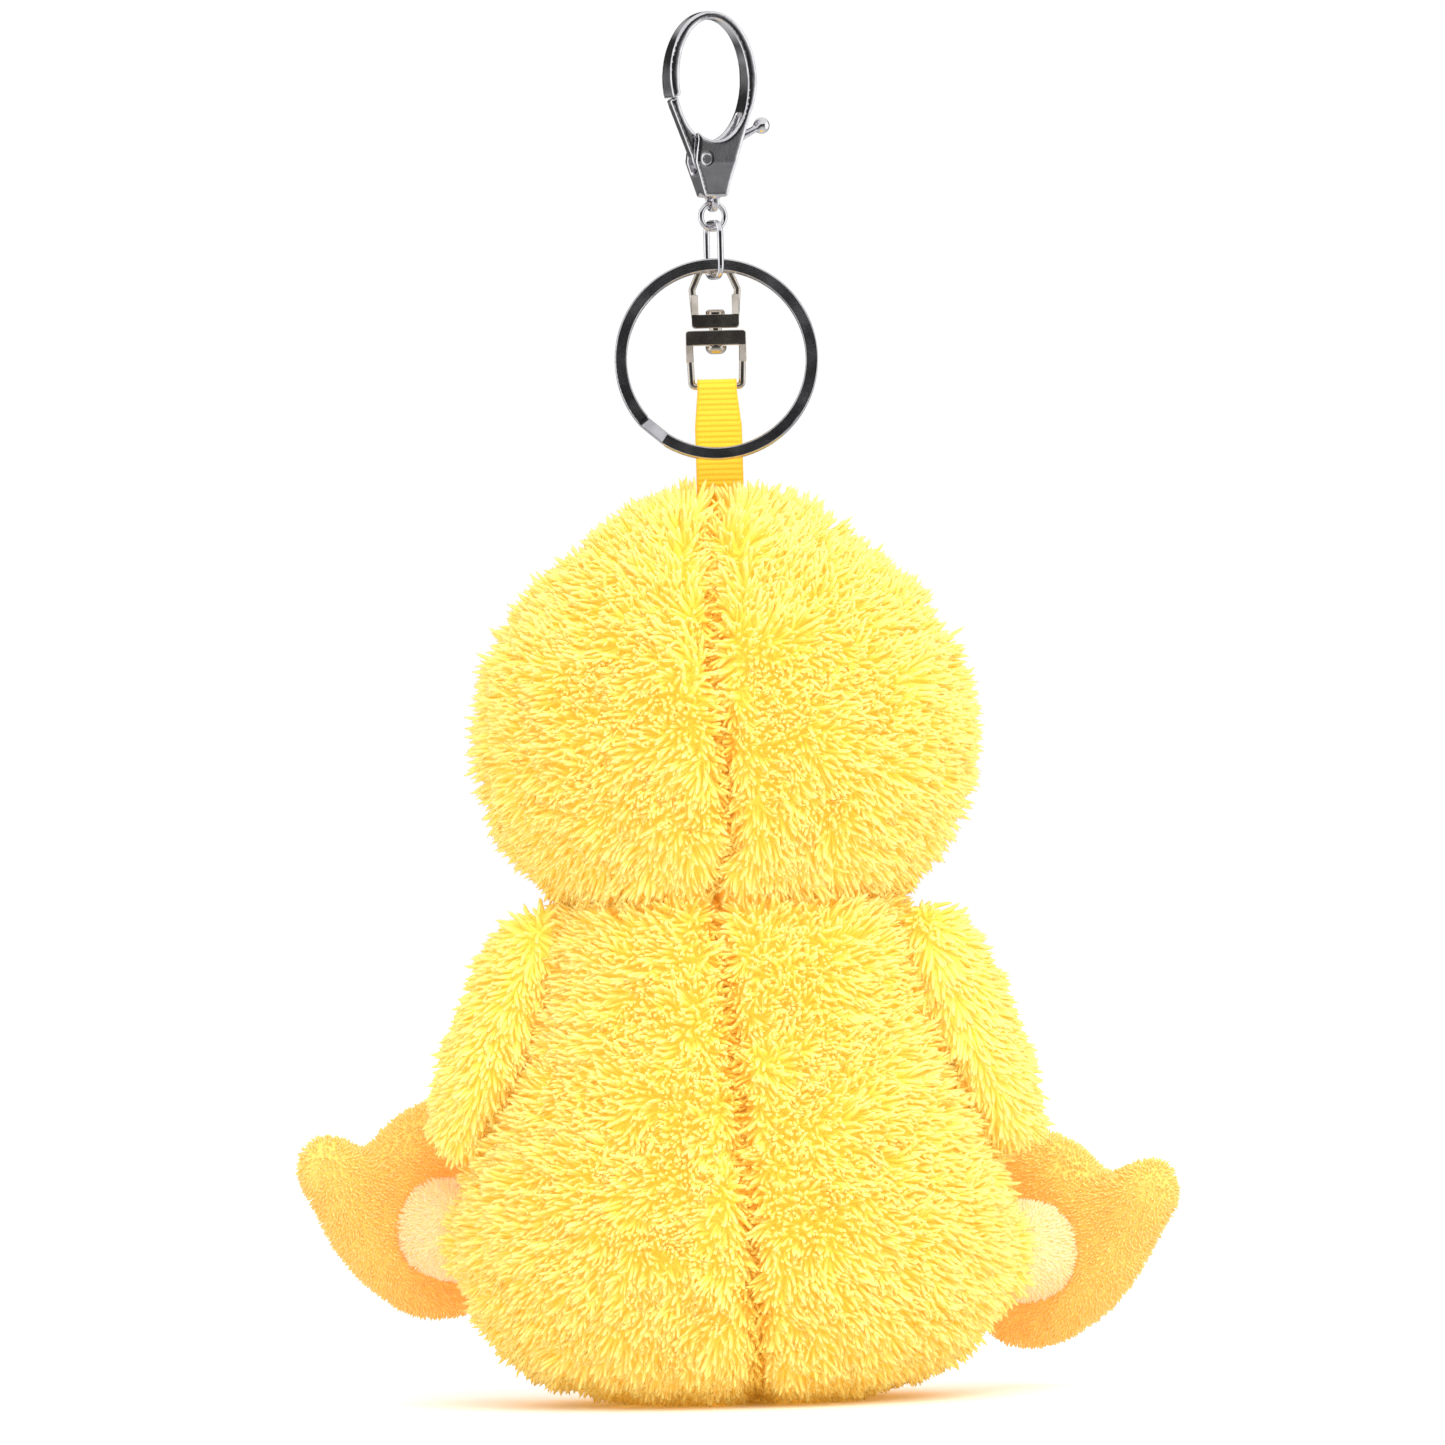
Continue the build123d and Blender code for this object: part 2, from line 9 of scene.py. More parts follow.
import bpy
import numpy as np
from mathutils import Matrix, Vector


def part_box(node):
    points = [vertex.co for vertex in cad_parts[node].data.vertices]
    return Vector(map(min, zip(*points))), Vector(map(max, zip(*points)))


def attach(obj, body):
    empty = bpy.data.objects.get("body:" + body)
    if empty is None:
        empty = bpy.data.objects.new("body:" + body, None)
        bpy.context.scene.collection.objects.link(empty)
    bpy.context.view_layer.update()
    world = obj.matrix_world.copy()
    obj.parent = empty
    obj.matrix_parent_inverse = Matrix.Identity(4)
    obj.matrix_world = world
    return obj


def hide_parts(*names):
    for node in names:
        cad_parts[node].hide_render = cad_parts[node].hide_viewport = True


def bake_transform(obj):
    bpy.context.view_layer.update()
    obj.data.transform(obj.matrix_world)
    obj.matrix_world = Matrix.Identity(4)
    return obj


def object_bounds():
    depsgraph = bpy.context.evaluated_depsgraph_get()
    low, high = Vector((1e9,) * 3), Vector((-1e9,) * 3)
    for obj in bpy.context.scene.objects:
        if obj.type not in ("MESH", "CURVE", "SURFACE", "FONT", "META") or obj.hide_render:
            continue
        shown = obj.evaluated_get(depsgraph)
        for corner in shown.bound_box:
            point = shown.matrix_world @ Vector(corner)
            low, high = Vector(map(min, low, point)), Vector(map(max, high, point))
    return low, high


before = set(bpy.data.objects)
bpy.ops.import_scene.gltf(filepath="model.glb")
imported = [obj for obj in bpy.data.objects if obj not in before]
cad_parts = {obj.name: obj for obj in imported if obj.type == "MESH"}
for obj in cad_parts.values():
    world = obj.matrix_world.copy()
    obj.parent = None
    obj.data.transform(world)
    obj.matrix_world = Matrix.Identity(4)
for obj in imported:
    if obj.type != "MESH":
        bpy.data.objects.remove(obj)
cad_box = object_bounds()
MM = 0.001

# ---- Studio ----
# A pale floor under the seated duckling and even white light with a soft key. Polished metal sees
# a dark room with softboxes overhead and at the sides. The camera stands behind the duckling.
floor_height = cad_box[0].z
view_middle = Vector((0.4 * MM, -1.1 * MM, -99.8 * MM))
view_side = 213.6 * MM  # side of the square that the camera takes in at the plush
view_elevation = math.radians(0.4)
view_roll = math.radians(1.4)
lens, sensor = 400.0, 36.0


def clear_selection():
    """Leaves object mode with nothing selected."""
    if bpy.context.object and bpy.context.object.mode != "OBJECT":
        bpy.ops.object.mode_set(mode="OBJECT")
    bpy.ops.object.select_all(action="DESELECT")


def linear(hex_colour):
    """A hex colour as the linear RGBA that shader sockets take."""
    parts = [int(hex_colour[i : i + 2], 16) / 255 for i in (1, 3, 5)]
    return (*[c / 12.92 if c <= 0.04045 else ((c + 0.055) / 1.055) ** 2.4 for c in parts], 1.0)


def new_material(name):
    """A material with its node tree, and the tree's Principled BSDF."""
    material = bpy.data.materials.new(name)
    material.use_nodes = True
    return material, material.node_tree, material.node_tree.nodes["Principled BSDF"]


camera_data = bpy.data.cameras.new("camera")
camera = bpy.data.objects.new("camera", camera_data)
bpy.context.scene.collection.objects.link(camera)
camera_data.lens, camera_data.sensor_width = lens, sensor
camera_data.clip_start, camera_data.clip_end = 0.01, 50
towards_camera = Vector((0, math.cos(view_elevation), math.sin(view_elevation)))
camera.location = view_middle + towards_camera * (view_side * lens / sensor)
upright = (-towards_camera).to_track_quat("-Z", "Y").to_matrix()
camera.rotation_euler = (upright @ Matrix.Rotation(-view_roll, 3, "Z")).to_euler()
bpy.context.scene.camera = camera

scene = bpy.context.scene
scene.view_settings.view_transform = "Standard"
scene.cycles.diffuse_bounces = 8  # light finds its way out of deep pile
world = bpy.data.worlds.new("studio")
world.use_nodes = True
scene.world = world
sky = world.node_tree
light_path = sky.nodes.new("ShaderNodeLightPath")
direction = sky.nodes.new("ShaderNodeTexCoord")
parts = sky.nodes.new("ShaderNodeSeparateXYZ")
aside = sky.nodes.new("ShaderNodeMath")
aside.operation = "ABSOLUTE"
height_share = sky.nodes.new("ShaderNodeMapRange")
height_share.inputs["From Min"].default_value = -1
beside = sky.nodes.new("ShaderNodeMapRange")
side_box = {"From Min": 0.68, "From Max": 0.86, "To Min": 0.03, "To Max": 1.3}
for socket, value in side_box.items():
    beside.inputs[socket].default_value = value
room = sky.nodes.new("ShaderNodeValToRGB")
room.color_ramp.elements.remove(room.color_ramp.elements[1])
room.color_ramp.elements[0].color = (0.8, 0.8, 0.8, 1)
# How bright the room is, from straight below (0) past the horizon (0.5) to straight above (1).
room_light = (
    (0.3, 0.6),
    (0.38, 0.08),
    (0.44, 0.28),
    (0.49, 0.015),
    (0.66, 0.02),
    (0.72, 0.95),
    (1, 1),
)
for at, light in room_light:
    room.color_ramp.elements.new(at).color = (light, light, light, 1)
boxes = sky.nodes.new("ShaderNodeMath")
boxes.operation = "MAXIMUM"
sky.links.new(direction.outputs["Generated"], parts.inputs[0])
sky.links.new(parts.outputs["X"], aside.inputs[0])
sky.links.new(parts.outputs["Z"], height_share.inputs["Value"])
sky.links.new(aside.outputs[0], beside.inputs["Value"])
sky.links.new(height_share.outputs[0], room.inputs["Fac"])
sky.links.new(room.outputs["Color"], boxes.inputs[0])
sky.links.new(beside.outputs[0], boxes.inputs[1])
brightness = sky.nodes.new("ShaderNodeMapRange")
brightness.inputs["To Min"].default_value = 0.98
brightness.inputs["To Max"].default_value = 1.0
in_metal = sky.nodes.new("ShaderNodeMix")
sky.links.new(light_path.outputs["Is Camera Ray"], brightness.inputs["Value"])
sky.links.new(light_path.outputs["Is Glossy Ray"], in_metal.inputs["Factor"])
sky.links.new(brightness.outputs["Result"], in_metal.inputs["A"])
sky.links.new(boxes.outputs[0], in_metal.inputs["B"])
sky.links.new(in_metal.outputs["Result"], sky.nodes["Background"].inputs["Strength"])
sky.nodes["Background"].inputs["Color"].default_value = (1, 1, 1, 1)

for name, strength, size, turn, height in (("key", 2.6, 60, 200, 42), ("fill", 1.2, 80, 20, 35)):
    sun_data = bpy.data.lights.new(name, "SUN")
    sun_data.energy, sun_data.angle = strength, math.radians(size)
    sun = bpy.data.objects.new(name, sun_data)
    scene.collection.objects.link(sun)
    a, e = math.radians(turn), math.radians(height)
    from_light = Vector((math.sin(a) * math.cos(e), -math.cos(a) * math.cos(e), math.sin(e)))
    sun.rotation_euler = from_light.to_track_quat("Z", "Y").to_euler()
    sun.visible_glossy = False

clear_selection()
bpy.ops.mesh.primitive_circle_add(
    vertices=96, radius=3.0, fill_type="NGON", location=(0, 0, floor_height)
)
floor = bpy.context.object
floor.name = "floor"
bpy.ops.object.transform_apply(location=True, rotation=True, scale=True)
floor_paint, _, floor_shader = new_material("floor_paint")
floor_shader.inputs["Base Color"].default_value = (0.93, 0.93, 0.93, 1)
floor_shader.inputs["Roughness"].default_value = 0.85
floor.data.materials.append(floor_paint)
floor.visible_glossy = False

# ---- Trigger clasp and chain links ----
# Die-cast zinc clasp, chromed and polished, with a sprung lever on a rivet and a hard-drawn steel
# spring. Two bent wire links join it to the key ring.
metal_marks = bpy.data.node_groups.new("metal_marks", "ShaderNodeTree")
metal_marks.interface.new_socket("Scale", in_out="INPUT", socket_type="NodeSocketFloat")
metal_marks.interface.new_socket("Rough", in_out="INPUT", socket_type="NodeSocketFloat")
metal_marks.interface.new_socket("Roughness", in_out="OUTPUT", socket_type="NodeSocketFloat")
metal_marks.interface.new_socket("Height", in_out="OUTPUT", socket_type="NodeSocketFloat")
g_in = metal_marks.nodes.new("NodeGroupInput")
g_out = metal_marks.nodes.new("NodeGroupOutput")
place = metal_marks.nodes.new("ShaderNodeTexCoord")
smudge = metal_marks.nodes.new("ShaderNodeTexNoise")
smudge.inputs["Scale"].default_value = 260
smudge.inputs["Detail"].default_value = 4
hair_line = metal_marks.nodes.new("ShaderNodeTexNoise")
hair_line.inputs["Detail"].default_value = 6
hair_line.inputs["Roughness"].default_value = 0.7
smear = metal_marks.nodes.new("ShaderNodeMapRange")
smear.inputs["From Min"].default_value = 0.35
smear.inputs["From Max"].default_value = 0.75
smear.inputs["To Min"].default_value = 1.0
smear.inputs["To Max"].default_value = 1.9
product = metal_marks.nodes.new("ShaderNodeMath")
product.operation = "MULTIPLY"
metal_marks.links.new(place.outputs["Object"], smudge.inputs["Vector"])
metal_marks.links.new(place.outputs["Object"], hair_line.inputs["Vector"])
metal_marks.links.new(g_in.outputs["Scale"], hair_line.inputs["Scale"])
metal_marks.links.new(smudge.outputs["Fac"], smear.inputs["Value"])
metal_marks.links.new(smear.outputs["Result"], product.inputs[0])
metal_marks.links.new(g_in.outputs["Rough"], product.inputs[1])
metal_marks.links.new(product.outputs["Value"], g_out.inputs["Roughness"])
metal_marks.links.new(hair_line.outputs["Fac"], g_out.inputs["Height"])


def plated(name, light, dark, roughness, mark_scale, mark_depth):
    """Plated or bare metal: slightly uneven colour, smudged gloss and fine handling marks."""
    material, tree, shader = new_material(name)
    marks = tree.nodes.new("ShaderNodeGroup")
    marks.node_tree = metal_marks
    marks.inputs["Scale"].default_value = mark_scale
    marks.inputs["Rough"].default_value = roughness
    coords = tree.nodes.new("ShaderNodeTexCoord")
    cloud = tree.nodes.new("ShaderNodeTexNoise")
    cloud.inputs["Scale"].default_value = 420
    tone = tree.nodes.new("ShaderNodeValToRGB")
    tone.color_ramp.elements[0].position, tone.color_ramp.elements[0].color = 0.35, linear(dark)
    tone.color_ramp.elements[1].position, tone.color_ramp.elements[1].color = 0.6, linear(light)
    bump = tree.nodes.new("ShaderNodeBump")
    bump.inputs["Strength"].default_value = mark_depth
    bump.inputs["Distance"].default_value = 0.00004
    tree.links.new(coords.outputs["Object"], cloud.inputs["Vector"])
    tree.links.new(cloud.outputs["Fac"], tone.inputs["Fac"])
    tree.links.new(tone.outputs["Color"], shader.inputs["Base Color"])
    tree.links.new(marks.outputs["Roughness"], shader.inputs["Roughness"])
    tree.links.new(marks.outputs["Height"], bump.inputs["Height"])
    tree.links.new(bump.outputs["Normal"], shader.inputs["Normal"])
    shader.inputs["Metallic"].default_value = 1.0
    return material


def finish_cad(material, *nodes):
    """Gives these CAD pieces their finish."""
    for node in nodes:
        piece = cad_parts[node]
        for material_slot in piece.material_slots:
            material_slot.material = material


def rounded_casting(node, voxel, rounds):
    """A polished casting or stamping: the CAD piece as one skin, its sharp edges worn round."""
    piece = bpy.data.objects.new(f"{node}_polished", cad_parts[node].data.copy())
    scene.collection.objects.link(piece)
    clear_selection()
    piece.select_set(True)
    bpy.context.view_layer.objects.active = piece
    bpy.ops.object.mode_set(mode="EDIT")
    bpy.ops.mesh.select_all(action="SELECT")
    bpy.ops.mesh.remove_doubles(threshold=0.001 * MM)
    bpy.ops.object.mode_set(mode="OBJECT")
    skin = piece.modifiers.new("skin", "REMESH")
    skin.mode, skin.voxel_size = "VOXEL", voxel
    polish = piece.modifiers.new("polish", "SMOOTH")
    polish.factor, polish.iterations = 0.5, rounds
    bpy.ops.object.modifier_apply(modifier="skin")
    bpy.ops.object.modifier_apply(modifier="polish")
    bpy.ops.object.shade_smooth()
    print("casting", node, len(piece.data.polygons))
    return piece


def finish_casting(piece, material, node, body):
    """Gives a casting its plating and puts it in the CAD piece's stead."""
    piece.data.materials.clear()
    piece.data.materials.append(material)
    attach(piece, body)
    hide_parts(node)


polished_chrome = plated("polished_chrome", "#E2E1E4", "#CFCDD2", 0.07, 3000, 0.10)
spring_steel = plated("spring_steel", "#B9B8B6", "#9C9A97", 0.22, 5000, 0.2)
finish_cad(polished_chrome, "lever_pin", "chain_link_upper", "chain_link_lower")
for node, body in (("clasp_body", "clasp"), ("clasp_lever", "lever")):
    casting = rounded_casting(node, 0.13 * MM, 36)
    finish_casting(casting, polished_chrome, node, body)
finish_cad(spring_steel, "lever_spring")

# ---- Split key ring ----
# Flat spring-steel strip wound into two turns, nickelled and polished on its faces.
ring_steel = plated("ring_steel", "#C9C8CC", "#B4B3B8", 0.09, 2600, 0.12)
finish_cad(ring_steel, "split_ring")

# ---- Swivel ----
# Two stamped bails that turn on a headed rivet, nickel plated, a little warmer than the chrome.
nickel = plated("nickel", "#D6CEC4", "#BDB4A8", 0.14, 2800, 0.16)
finish_cad(nickel, "swivel_rivet")
for node, body in (("swivel_upper_bail", "upper_bail"), ("swivel_lower_bail", "lower_bail")):
    stamping = rounded_casting(node, 0.1 * MM, 2)
    finish_casting(stamping, nickel, node, body)

# ---- Ribbon loop ----
# Yellow grosgrain tape folded over the swivel's bar, both ends sewn into the head's top seam.
# The cross ribs stand proud, with painted shade in the hollows between them, and the two edges are woven a little
# thicker.
ribbon_low, ribbon_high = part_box("ribbon_loop")
ribbon_middle = (ribbon_low.y + ribbon_high.y) / 2
bar_height = ribbon_high.z - 1.1 * MM
tape_thickness = 0.42 * MM
rib_pitch = 0.8 * MM
fold_radius = 0.85 * MM
layer_gap = 0.26 * MM


def tape_line(step):
    """Points (depth, height) up one layer, over the bar and down the other, this far apart."""
    flare = bar_height - 3.2 * MM
    corners = [(-layer_gap, ribbon_low.z), (-layer_gap, flare), (-fold_radius, bar_height)]
    arc = [
        (-fold_radius * math.cos(a), bar_height + fold_radius * math.sin(a))
        for a in np.linspace(0, math.pi, 13)[1:-1]
    ]
    corners += arc + [(fold_radius, bar_height), (layer_gap, flare), (layer_gap, ribbon_low.z)]
    corners = np.array(corners)
    run = np.concatenate([[0], np.cumsum(np.linalg.norm(np.diff(corners, axis=0), axis=1))])
    at = np.linspace(0, run[-1], int(run[-1] / step) + 1)
    return at, np.stack([np.interp(at, run, corners[:, i]) for i in (0, 1)], axis=1)


tape_run, tape_points = tape_line(0.13 * MM)
tape_columns = 12
clear_selection()
bpy.ops.mesh.primitive_grid_add(
    x_subdivisions=tape_columns, y_subdivisions=len(tape_run) - 1, size=1
)
ribbon = bpy.context.object
ribbon.name = "ribbon"
co = np.zeros(len(ribbon.data.vertices) * 3)
ribbon.data.vertices.foreach_get("co", co)
co = co.reshape(-1, 3)
row = np.clip(np.round((co[:, 1] + 0.5) * (len(tape_run) - 1)).astype(int), 0, len(tape_run) - 1)
share = co[:, 0] * 2
depth, height = tape_points[row, 0], tape_points[row, 1]
along = np.gradient(tape_points, axis=0)
along /= np.linalg.norm(along, axis=1)[:, None]
outward = np.stack([-along[row, 1], along[row, 0]], axis=1)
rib = np.cos(tape_run[row] / rib_pitch * 2 * math.pi) * (np.abs(share) < 0.9)
selvage = (np.abs(share) > 0.86) * 0.05
lift = (0.07 * rib + selvage) * MM
half = np.interp(height, [bar_height - 6 * MM, bar_height - 0.8 * MM], [3.45, 2.9]) * MM
sway = 0.35 * MM * np.sin((height - bar_height) / (9 * MM)) * (height < bar_height)
co[:, 0] = share * half + sway * 0.3
co[:, 1] = ribbon_middle + depth + outward[:, 0] * lift
co[:, 2] = height + outward[:, 1] * lift
ribbon.data.vertices.foreach_set("co", co.ravel())
rib_mark = ribbon.data.attributes.new("rib", "FLOAT", "POINT")
rib_mark.data.foreach_set("value", rib.astype(np.float32))
thick = ribbon.modifiers.new("thick", "SOLIDIFY")
thick.thickness, thick.offset = tape_thickness, 0
bpy.ops.object.modifier_apply(modifier="thick")
bpy.ops.object.shade_smooth()

grosgrain, tree, shader = new_material("grosgrain")
rib_value = tree.nodes.new("ShaderNodeAttribute")
rib_value.attribute_name = "rib"
tone = tree.nodes.new("ShaderNodeMapRange")
tone.inputs["From Min"].default_value, tone.inputs["From Max"].default_value = -1, 1
# Painted shade: a darker colour in the hollows between the ribs and a lighter one on their crests.
tape_colour_and_rib_shade = tree.nodes.new("ShaderNodeMix")
tape_colour_and_rib_shade.data_type = "RGBA"
tape_colour_and_rib_shade.inputs["A"].default_value = linear("#DCAE14")
tape_colour_and_rib_shade.inputs["B"].default_value = linear("#F2C82E")
coords = tree.nodes.new("ShaderNodeTexCoord")
threads = tree.nodes.new("ShaderNodeTexWave")
threads.bands_direction = "X"
threads.inputs["Scale"].default_value = 900
threads.inputs["Distortion"].default_value = 1.2
weave = tree.nodes.new("ShaderNodeBump")
weave.inputs["Strength"].default_value = 0.4
weave.inputs["Distance"].default_value = 0.00005
tree.links.new(rib_value.outputs["Fac"], tone.inputs["Value"])
tree.links.new(tone.outputs["Result"], tape_colour_and_rib_shade.inputs["Factor"])
tree.links.new(tape_colour_and_rib_shade.outputs["Result"], shader.inputs["Base Color"])
tree.links.new(coords.outputs["Object"], threads.inputs["Vector"])
tree.links.new(threads.outputs["Fac"], weave.inputs["Height"])
tree.links.new(weave.outputs["Normal"], shader.inputs["Normal"])
shader.inputs["Roughness"].default_value = 0.62
shader.inputs["Sheen Weight"].default_value = 0.25
ribbon.data.materials.append(grosgrain)
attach(ribbon, "plush")
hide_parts("ribbon_loop")

# ---- Head ----
# Two panels of long-pile plush, sewn together along the front and the back and stuffed tight.
# The seam lies in a valley that wanders a little, and the pile clings together in soft locks.
plush_middle = -1.1 * MM
head_rings = [
    (-125.8, 17.5),
    (-123.0, 21.6),
    (-118.5, 27.0),
    (-112.5, 31.0),
    (-102.0, 33.0),
    (-93.0, 31.4),
    (-86.0, 27.4),
    (-79.0, 20.6),
    (-73.0, 13.0),
    (-68.4, 5.8),
]
cloth_depth_ratio = 0.85


def pull_up(name, levels, sides=40, outline=None, place=None):
    """A closed form: a ring at the first level, extruded level by level and sized to fit each.
    A level is (height, half width, half depth); outline gives the ring another shape."""
    clear_selection()
    first = levels[0]
    bpy.ops.mesh.primitive_circle_add(
        vertices=sides, radius=1, fill_type="NGON", location=(0, 0, 0)
    )
    piece = bpy.context.object
    piece.name = name
    if outline is not None:
        for corner, point in zip(piece.data.vertices, outline):
            corner.co = (point[0], point[1], 0)
    bpy.ops.object.mode_set(mode="EDIT")
    bpy.ops.mesh.select_all(action="SELECT")
    bpy.ops.transform.resize(value=(first[1], first[2], 1), center_override=(0, 0, 0))
    bpy.ops.transform.translate(value=(0, 0, first[0]))
    for before, after in zip(levels, levels[1:]):
        step = (0, 0, after[0] - before[0])
        bpy.ops.mesh.extrude_region_move(TRANSFORM_OT_translate={"value": step})
        bpy.ops.transform.resize(
            value=(after[1] / before[1], after[2] / before[2], 1), center_override=(0, 0, after[0])
        )
    bpy.ops.mesh.select_all(action="SELECT")
    bpy.ops.mesh.normals_make_consistent(inside=False)
    bpy.ops.object.mode_set(mode="OBJECT")
    if place is not None:
        piece.data.transform(place)
    return piece


def smooth_form(piece, levels):
    """Rounds a form with a subdivision surface."""
    clear_selection()
    piece.select_set(True)
    bpy.context.view_layer.objects.active = piece
    rounding = piece.modifiers.new("rounding", "SUBSURF")
    rounding.levels = rounding.render_levels = levels
    bpy.ops.object.modifier_apply(modifier="rounding")
    bpy.ops.object.shade_smooth()


def points_of(piece):
    """The piece's vertices as an array, one row each."""
    co = np.zeros(len(piece.data.vertices) * 3)
    piece.data.vertices.foreach_get("co", co)
    return co.reshape(-1, 3)


def move_points(piece, co):
    """Puts the piece's vertices where the rows of co say."""
    piece.data.vertices.foreach_set("co", np.asarray(co, float).ravel())
    piece.data.update()


ENLARGED = 10.0  # the filling is worked out at this size, where cloth behaves as on a cushion


def stuff(piece, voxel, pressure, cap, held=None):
    """Fills a form like a cushion: an even skin, blown up a little as cloth and smoothed once.
    No point moves further than cap, and held says how firmly each point is sewn down."""
    clear_selection()
    piece.select_set(True)
    bpy.context.view_layer.objects.active = piece
    piece.data.transform(Matrix.Scale(ENLARGED, 4))
    skin = piece.modifiers.new("skin", "REMESH")
    skin.mode, skin.voxel_size = "VOXEL", voxel * ENLARGED
    bpy.ops.object.modifier_apply(modifier="skin")
    before = points_of(piece)
    sewn = piece.vertex_groups.new(name="sewn")
    if held is not None:
        firm = held(before / ENLARGED)
        for i in np.nonzero(firm > 0.01)[0]:
            sewn.add([int(i)], float(firm[i]), "REPLACE")
    filling = piece.modifiers.new("filling", "CLOTH")
    settings = filling.settings
    settings.use_pressure, settings.uniform_pressure_force = True, pressure
    settings.effector_weights.gravity = 0
    settings.quality = 5
    settings.vertex_group_mass = "sewn"
    filling.collision_settings.use_self_collision = False
    scene.frame_start, scene.frame_end = 1, 20
    filling.point_cache.frame_start, filling.point_cache.frame_end = 1, 20
    for step in range(1, 21):
        scene.frame_set(step)
    bpy.ops.object.modifier_apply(modifier="filling")
    scene.frame_set(1)
    after = points_of(piece)
    moved = after - before
    far = np.linalg.norm(moved, axis=1)
    print("stuffed", piece.name, "moved mm", round(float(far.mean() / ENLARGED / MM), 2),
          round(float(far.max() / ENLARGED / MM), 2), len(far))
    scale = np.minimum(1, cap * ENLARGED / np.maximum(far, 1e-9))
    move_points(piece, before + moved * scale[:, None])
    piece.data.transform(Matrix.Scale(1 / ENLARGED, 4))
    smooth_form(piece, 1)


def seam_wander(height):
    """How far the back seam strays to the side at this height, in metres."""
    levels = np.array([-205, -186, -176, -157, -136, -130, -122, -116, -106, -96, -85, -75, -60]) * MM
    strays = np.array([-2.6, -2.6, -2.4, -0.8, 1.0, 1.6, 2.8, -0.8, 0.4, 1.1, 1.2, 1.9, 1.3]) * MM
    return np.interp(height, levels, strays)


def panel_of(form, name, side):
    """One of the two panels of a stuffed form, cut along its middle and closed there."""
    panel = form.copy()
    panel.data = form.data.copy()
    panel.name = name
    scene.collection.objects.link(panel)
    clear_selection()
    panel.select_set(True)
    bpy.context.view_layer.objects.active = panel
    bpy.ops.object.mode_set(mode="EDIT")
    bpy.ops.mesh.select_all(action="SELECT")
    bpy.ops.mesh.bisect(
        plane_co=(0, 0, 0), plane_no=(side, 0, 0), use_fill=True, clear_inner=True, threshold=1e-6
    )
    bpy.ops.mesh.select_all(action="SELECT")
    bpy.ops.mesh.normals_make_consistent(inside=False)
    bpy.ops.object.mode_set(mode="OBJECT")
    return panel


seat_height = -194.0 * MM


def sew_valley(panel, width, depth):
    """Draws the panel in along the seam, and lets the back seam wander."""
    co = points_of(panel)
    behind = np.clip((co[:, 1] - plush_middle) / (8 * MM), 0, 1)
    near = np.exp(-((co[:, 0] / width) ** 2))
    centre = np.array([0, plush_middle, co[:, 2].mean()])
    inward = centre - co
    inward[:, 0] = 0
    inward /= np.maximum(np.linalg.norm(inward, axis=1), 1e-6)[:, None]
    sewn = np.clip((co[:, 2] - seat_height) / (14 * MM), 0, 1)  # the seat itself is flat
    co = co + inward * (depth * near * sewn)[:, None]
    co[:, 0] += seam_wander(co[:, 2]) * behind * np.exp(-((co[:, 0] / (14 * MM)) ** 2))
    move_points(panel, co)


def mark_points(piece, **values):
    """Writes one number or vector for each of the piece's vertices."""
    for name, value in values.items():
        value = np.asarray(value, np.float32)
        kind = "FLOAT_VECTOR" if value.ndim == 2 else "FLOAT"
        field = "vector" if value.ndim == 2 else "value"
        mark = piece.data.attributes.new(name, kind, "POINT")
        mark.data.foreach_set(field, value.ravel())


def lock_shape(name, rings, sides=3):
    """One lock of pile, one unit long: a ring pulled up, leaning, and merged at the tip.
    A ring is (height, radius, lean). Its attribute along runs from 0 at the root to 1."""
    clear_selection()
    bpy.ops.mesh.primitive_circle_add(vertices=sides, radius=rings[0][1], fill_type="NOTHING")
    lock = bpy.context.object
    lock.name = name
    bpy.ops.object.mode_set(mode="EDIT")
    bpy.ops.mesh.select_all(action="SELECT")
    for before, after in zip(rings, rings[1:]):
        step = (after[2] - before[2], 0, after[0] - before[0])
        bpy.ops.mesh.extrude_region_move(TRANSFORM_OT_translate={"value": step})
        if after[1] > 0:
            size = after[1] / before[1]
            bpy.ops.transform.resize(value=(size, size, 1), center_override=(after[2], 0, after[0]))
        else:
            bpy.ops.mesh.merge(type="CENTER")
    bpy.ops.mesh.select_all(action="SELECT")
    bpy.ops.mesh.normals_make_consistent(inside=False)
    bpy.ops.object.mode_set(mode="OBJECT")
    bpy.ops.object.shade_smooth()
    mark_points(lock, along=points_of(lock)[:, 2])
    return lock


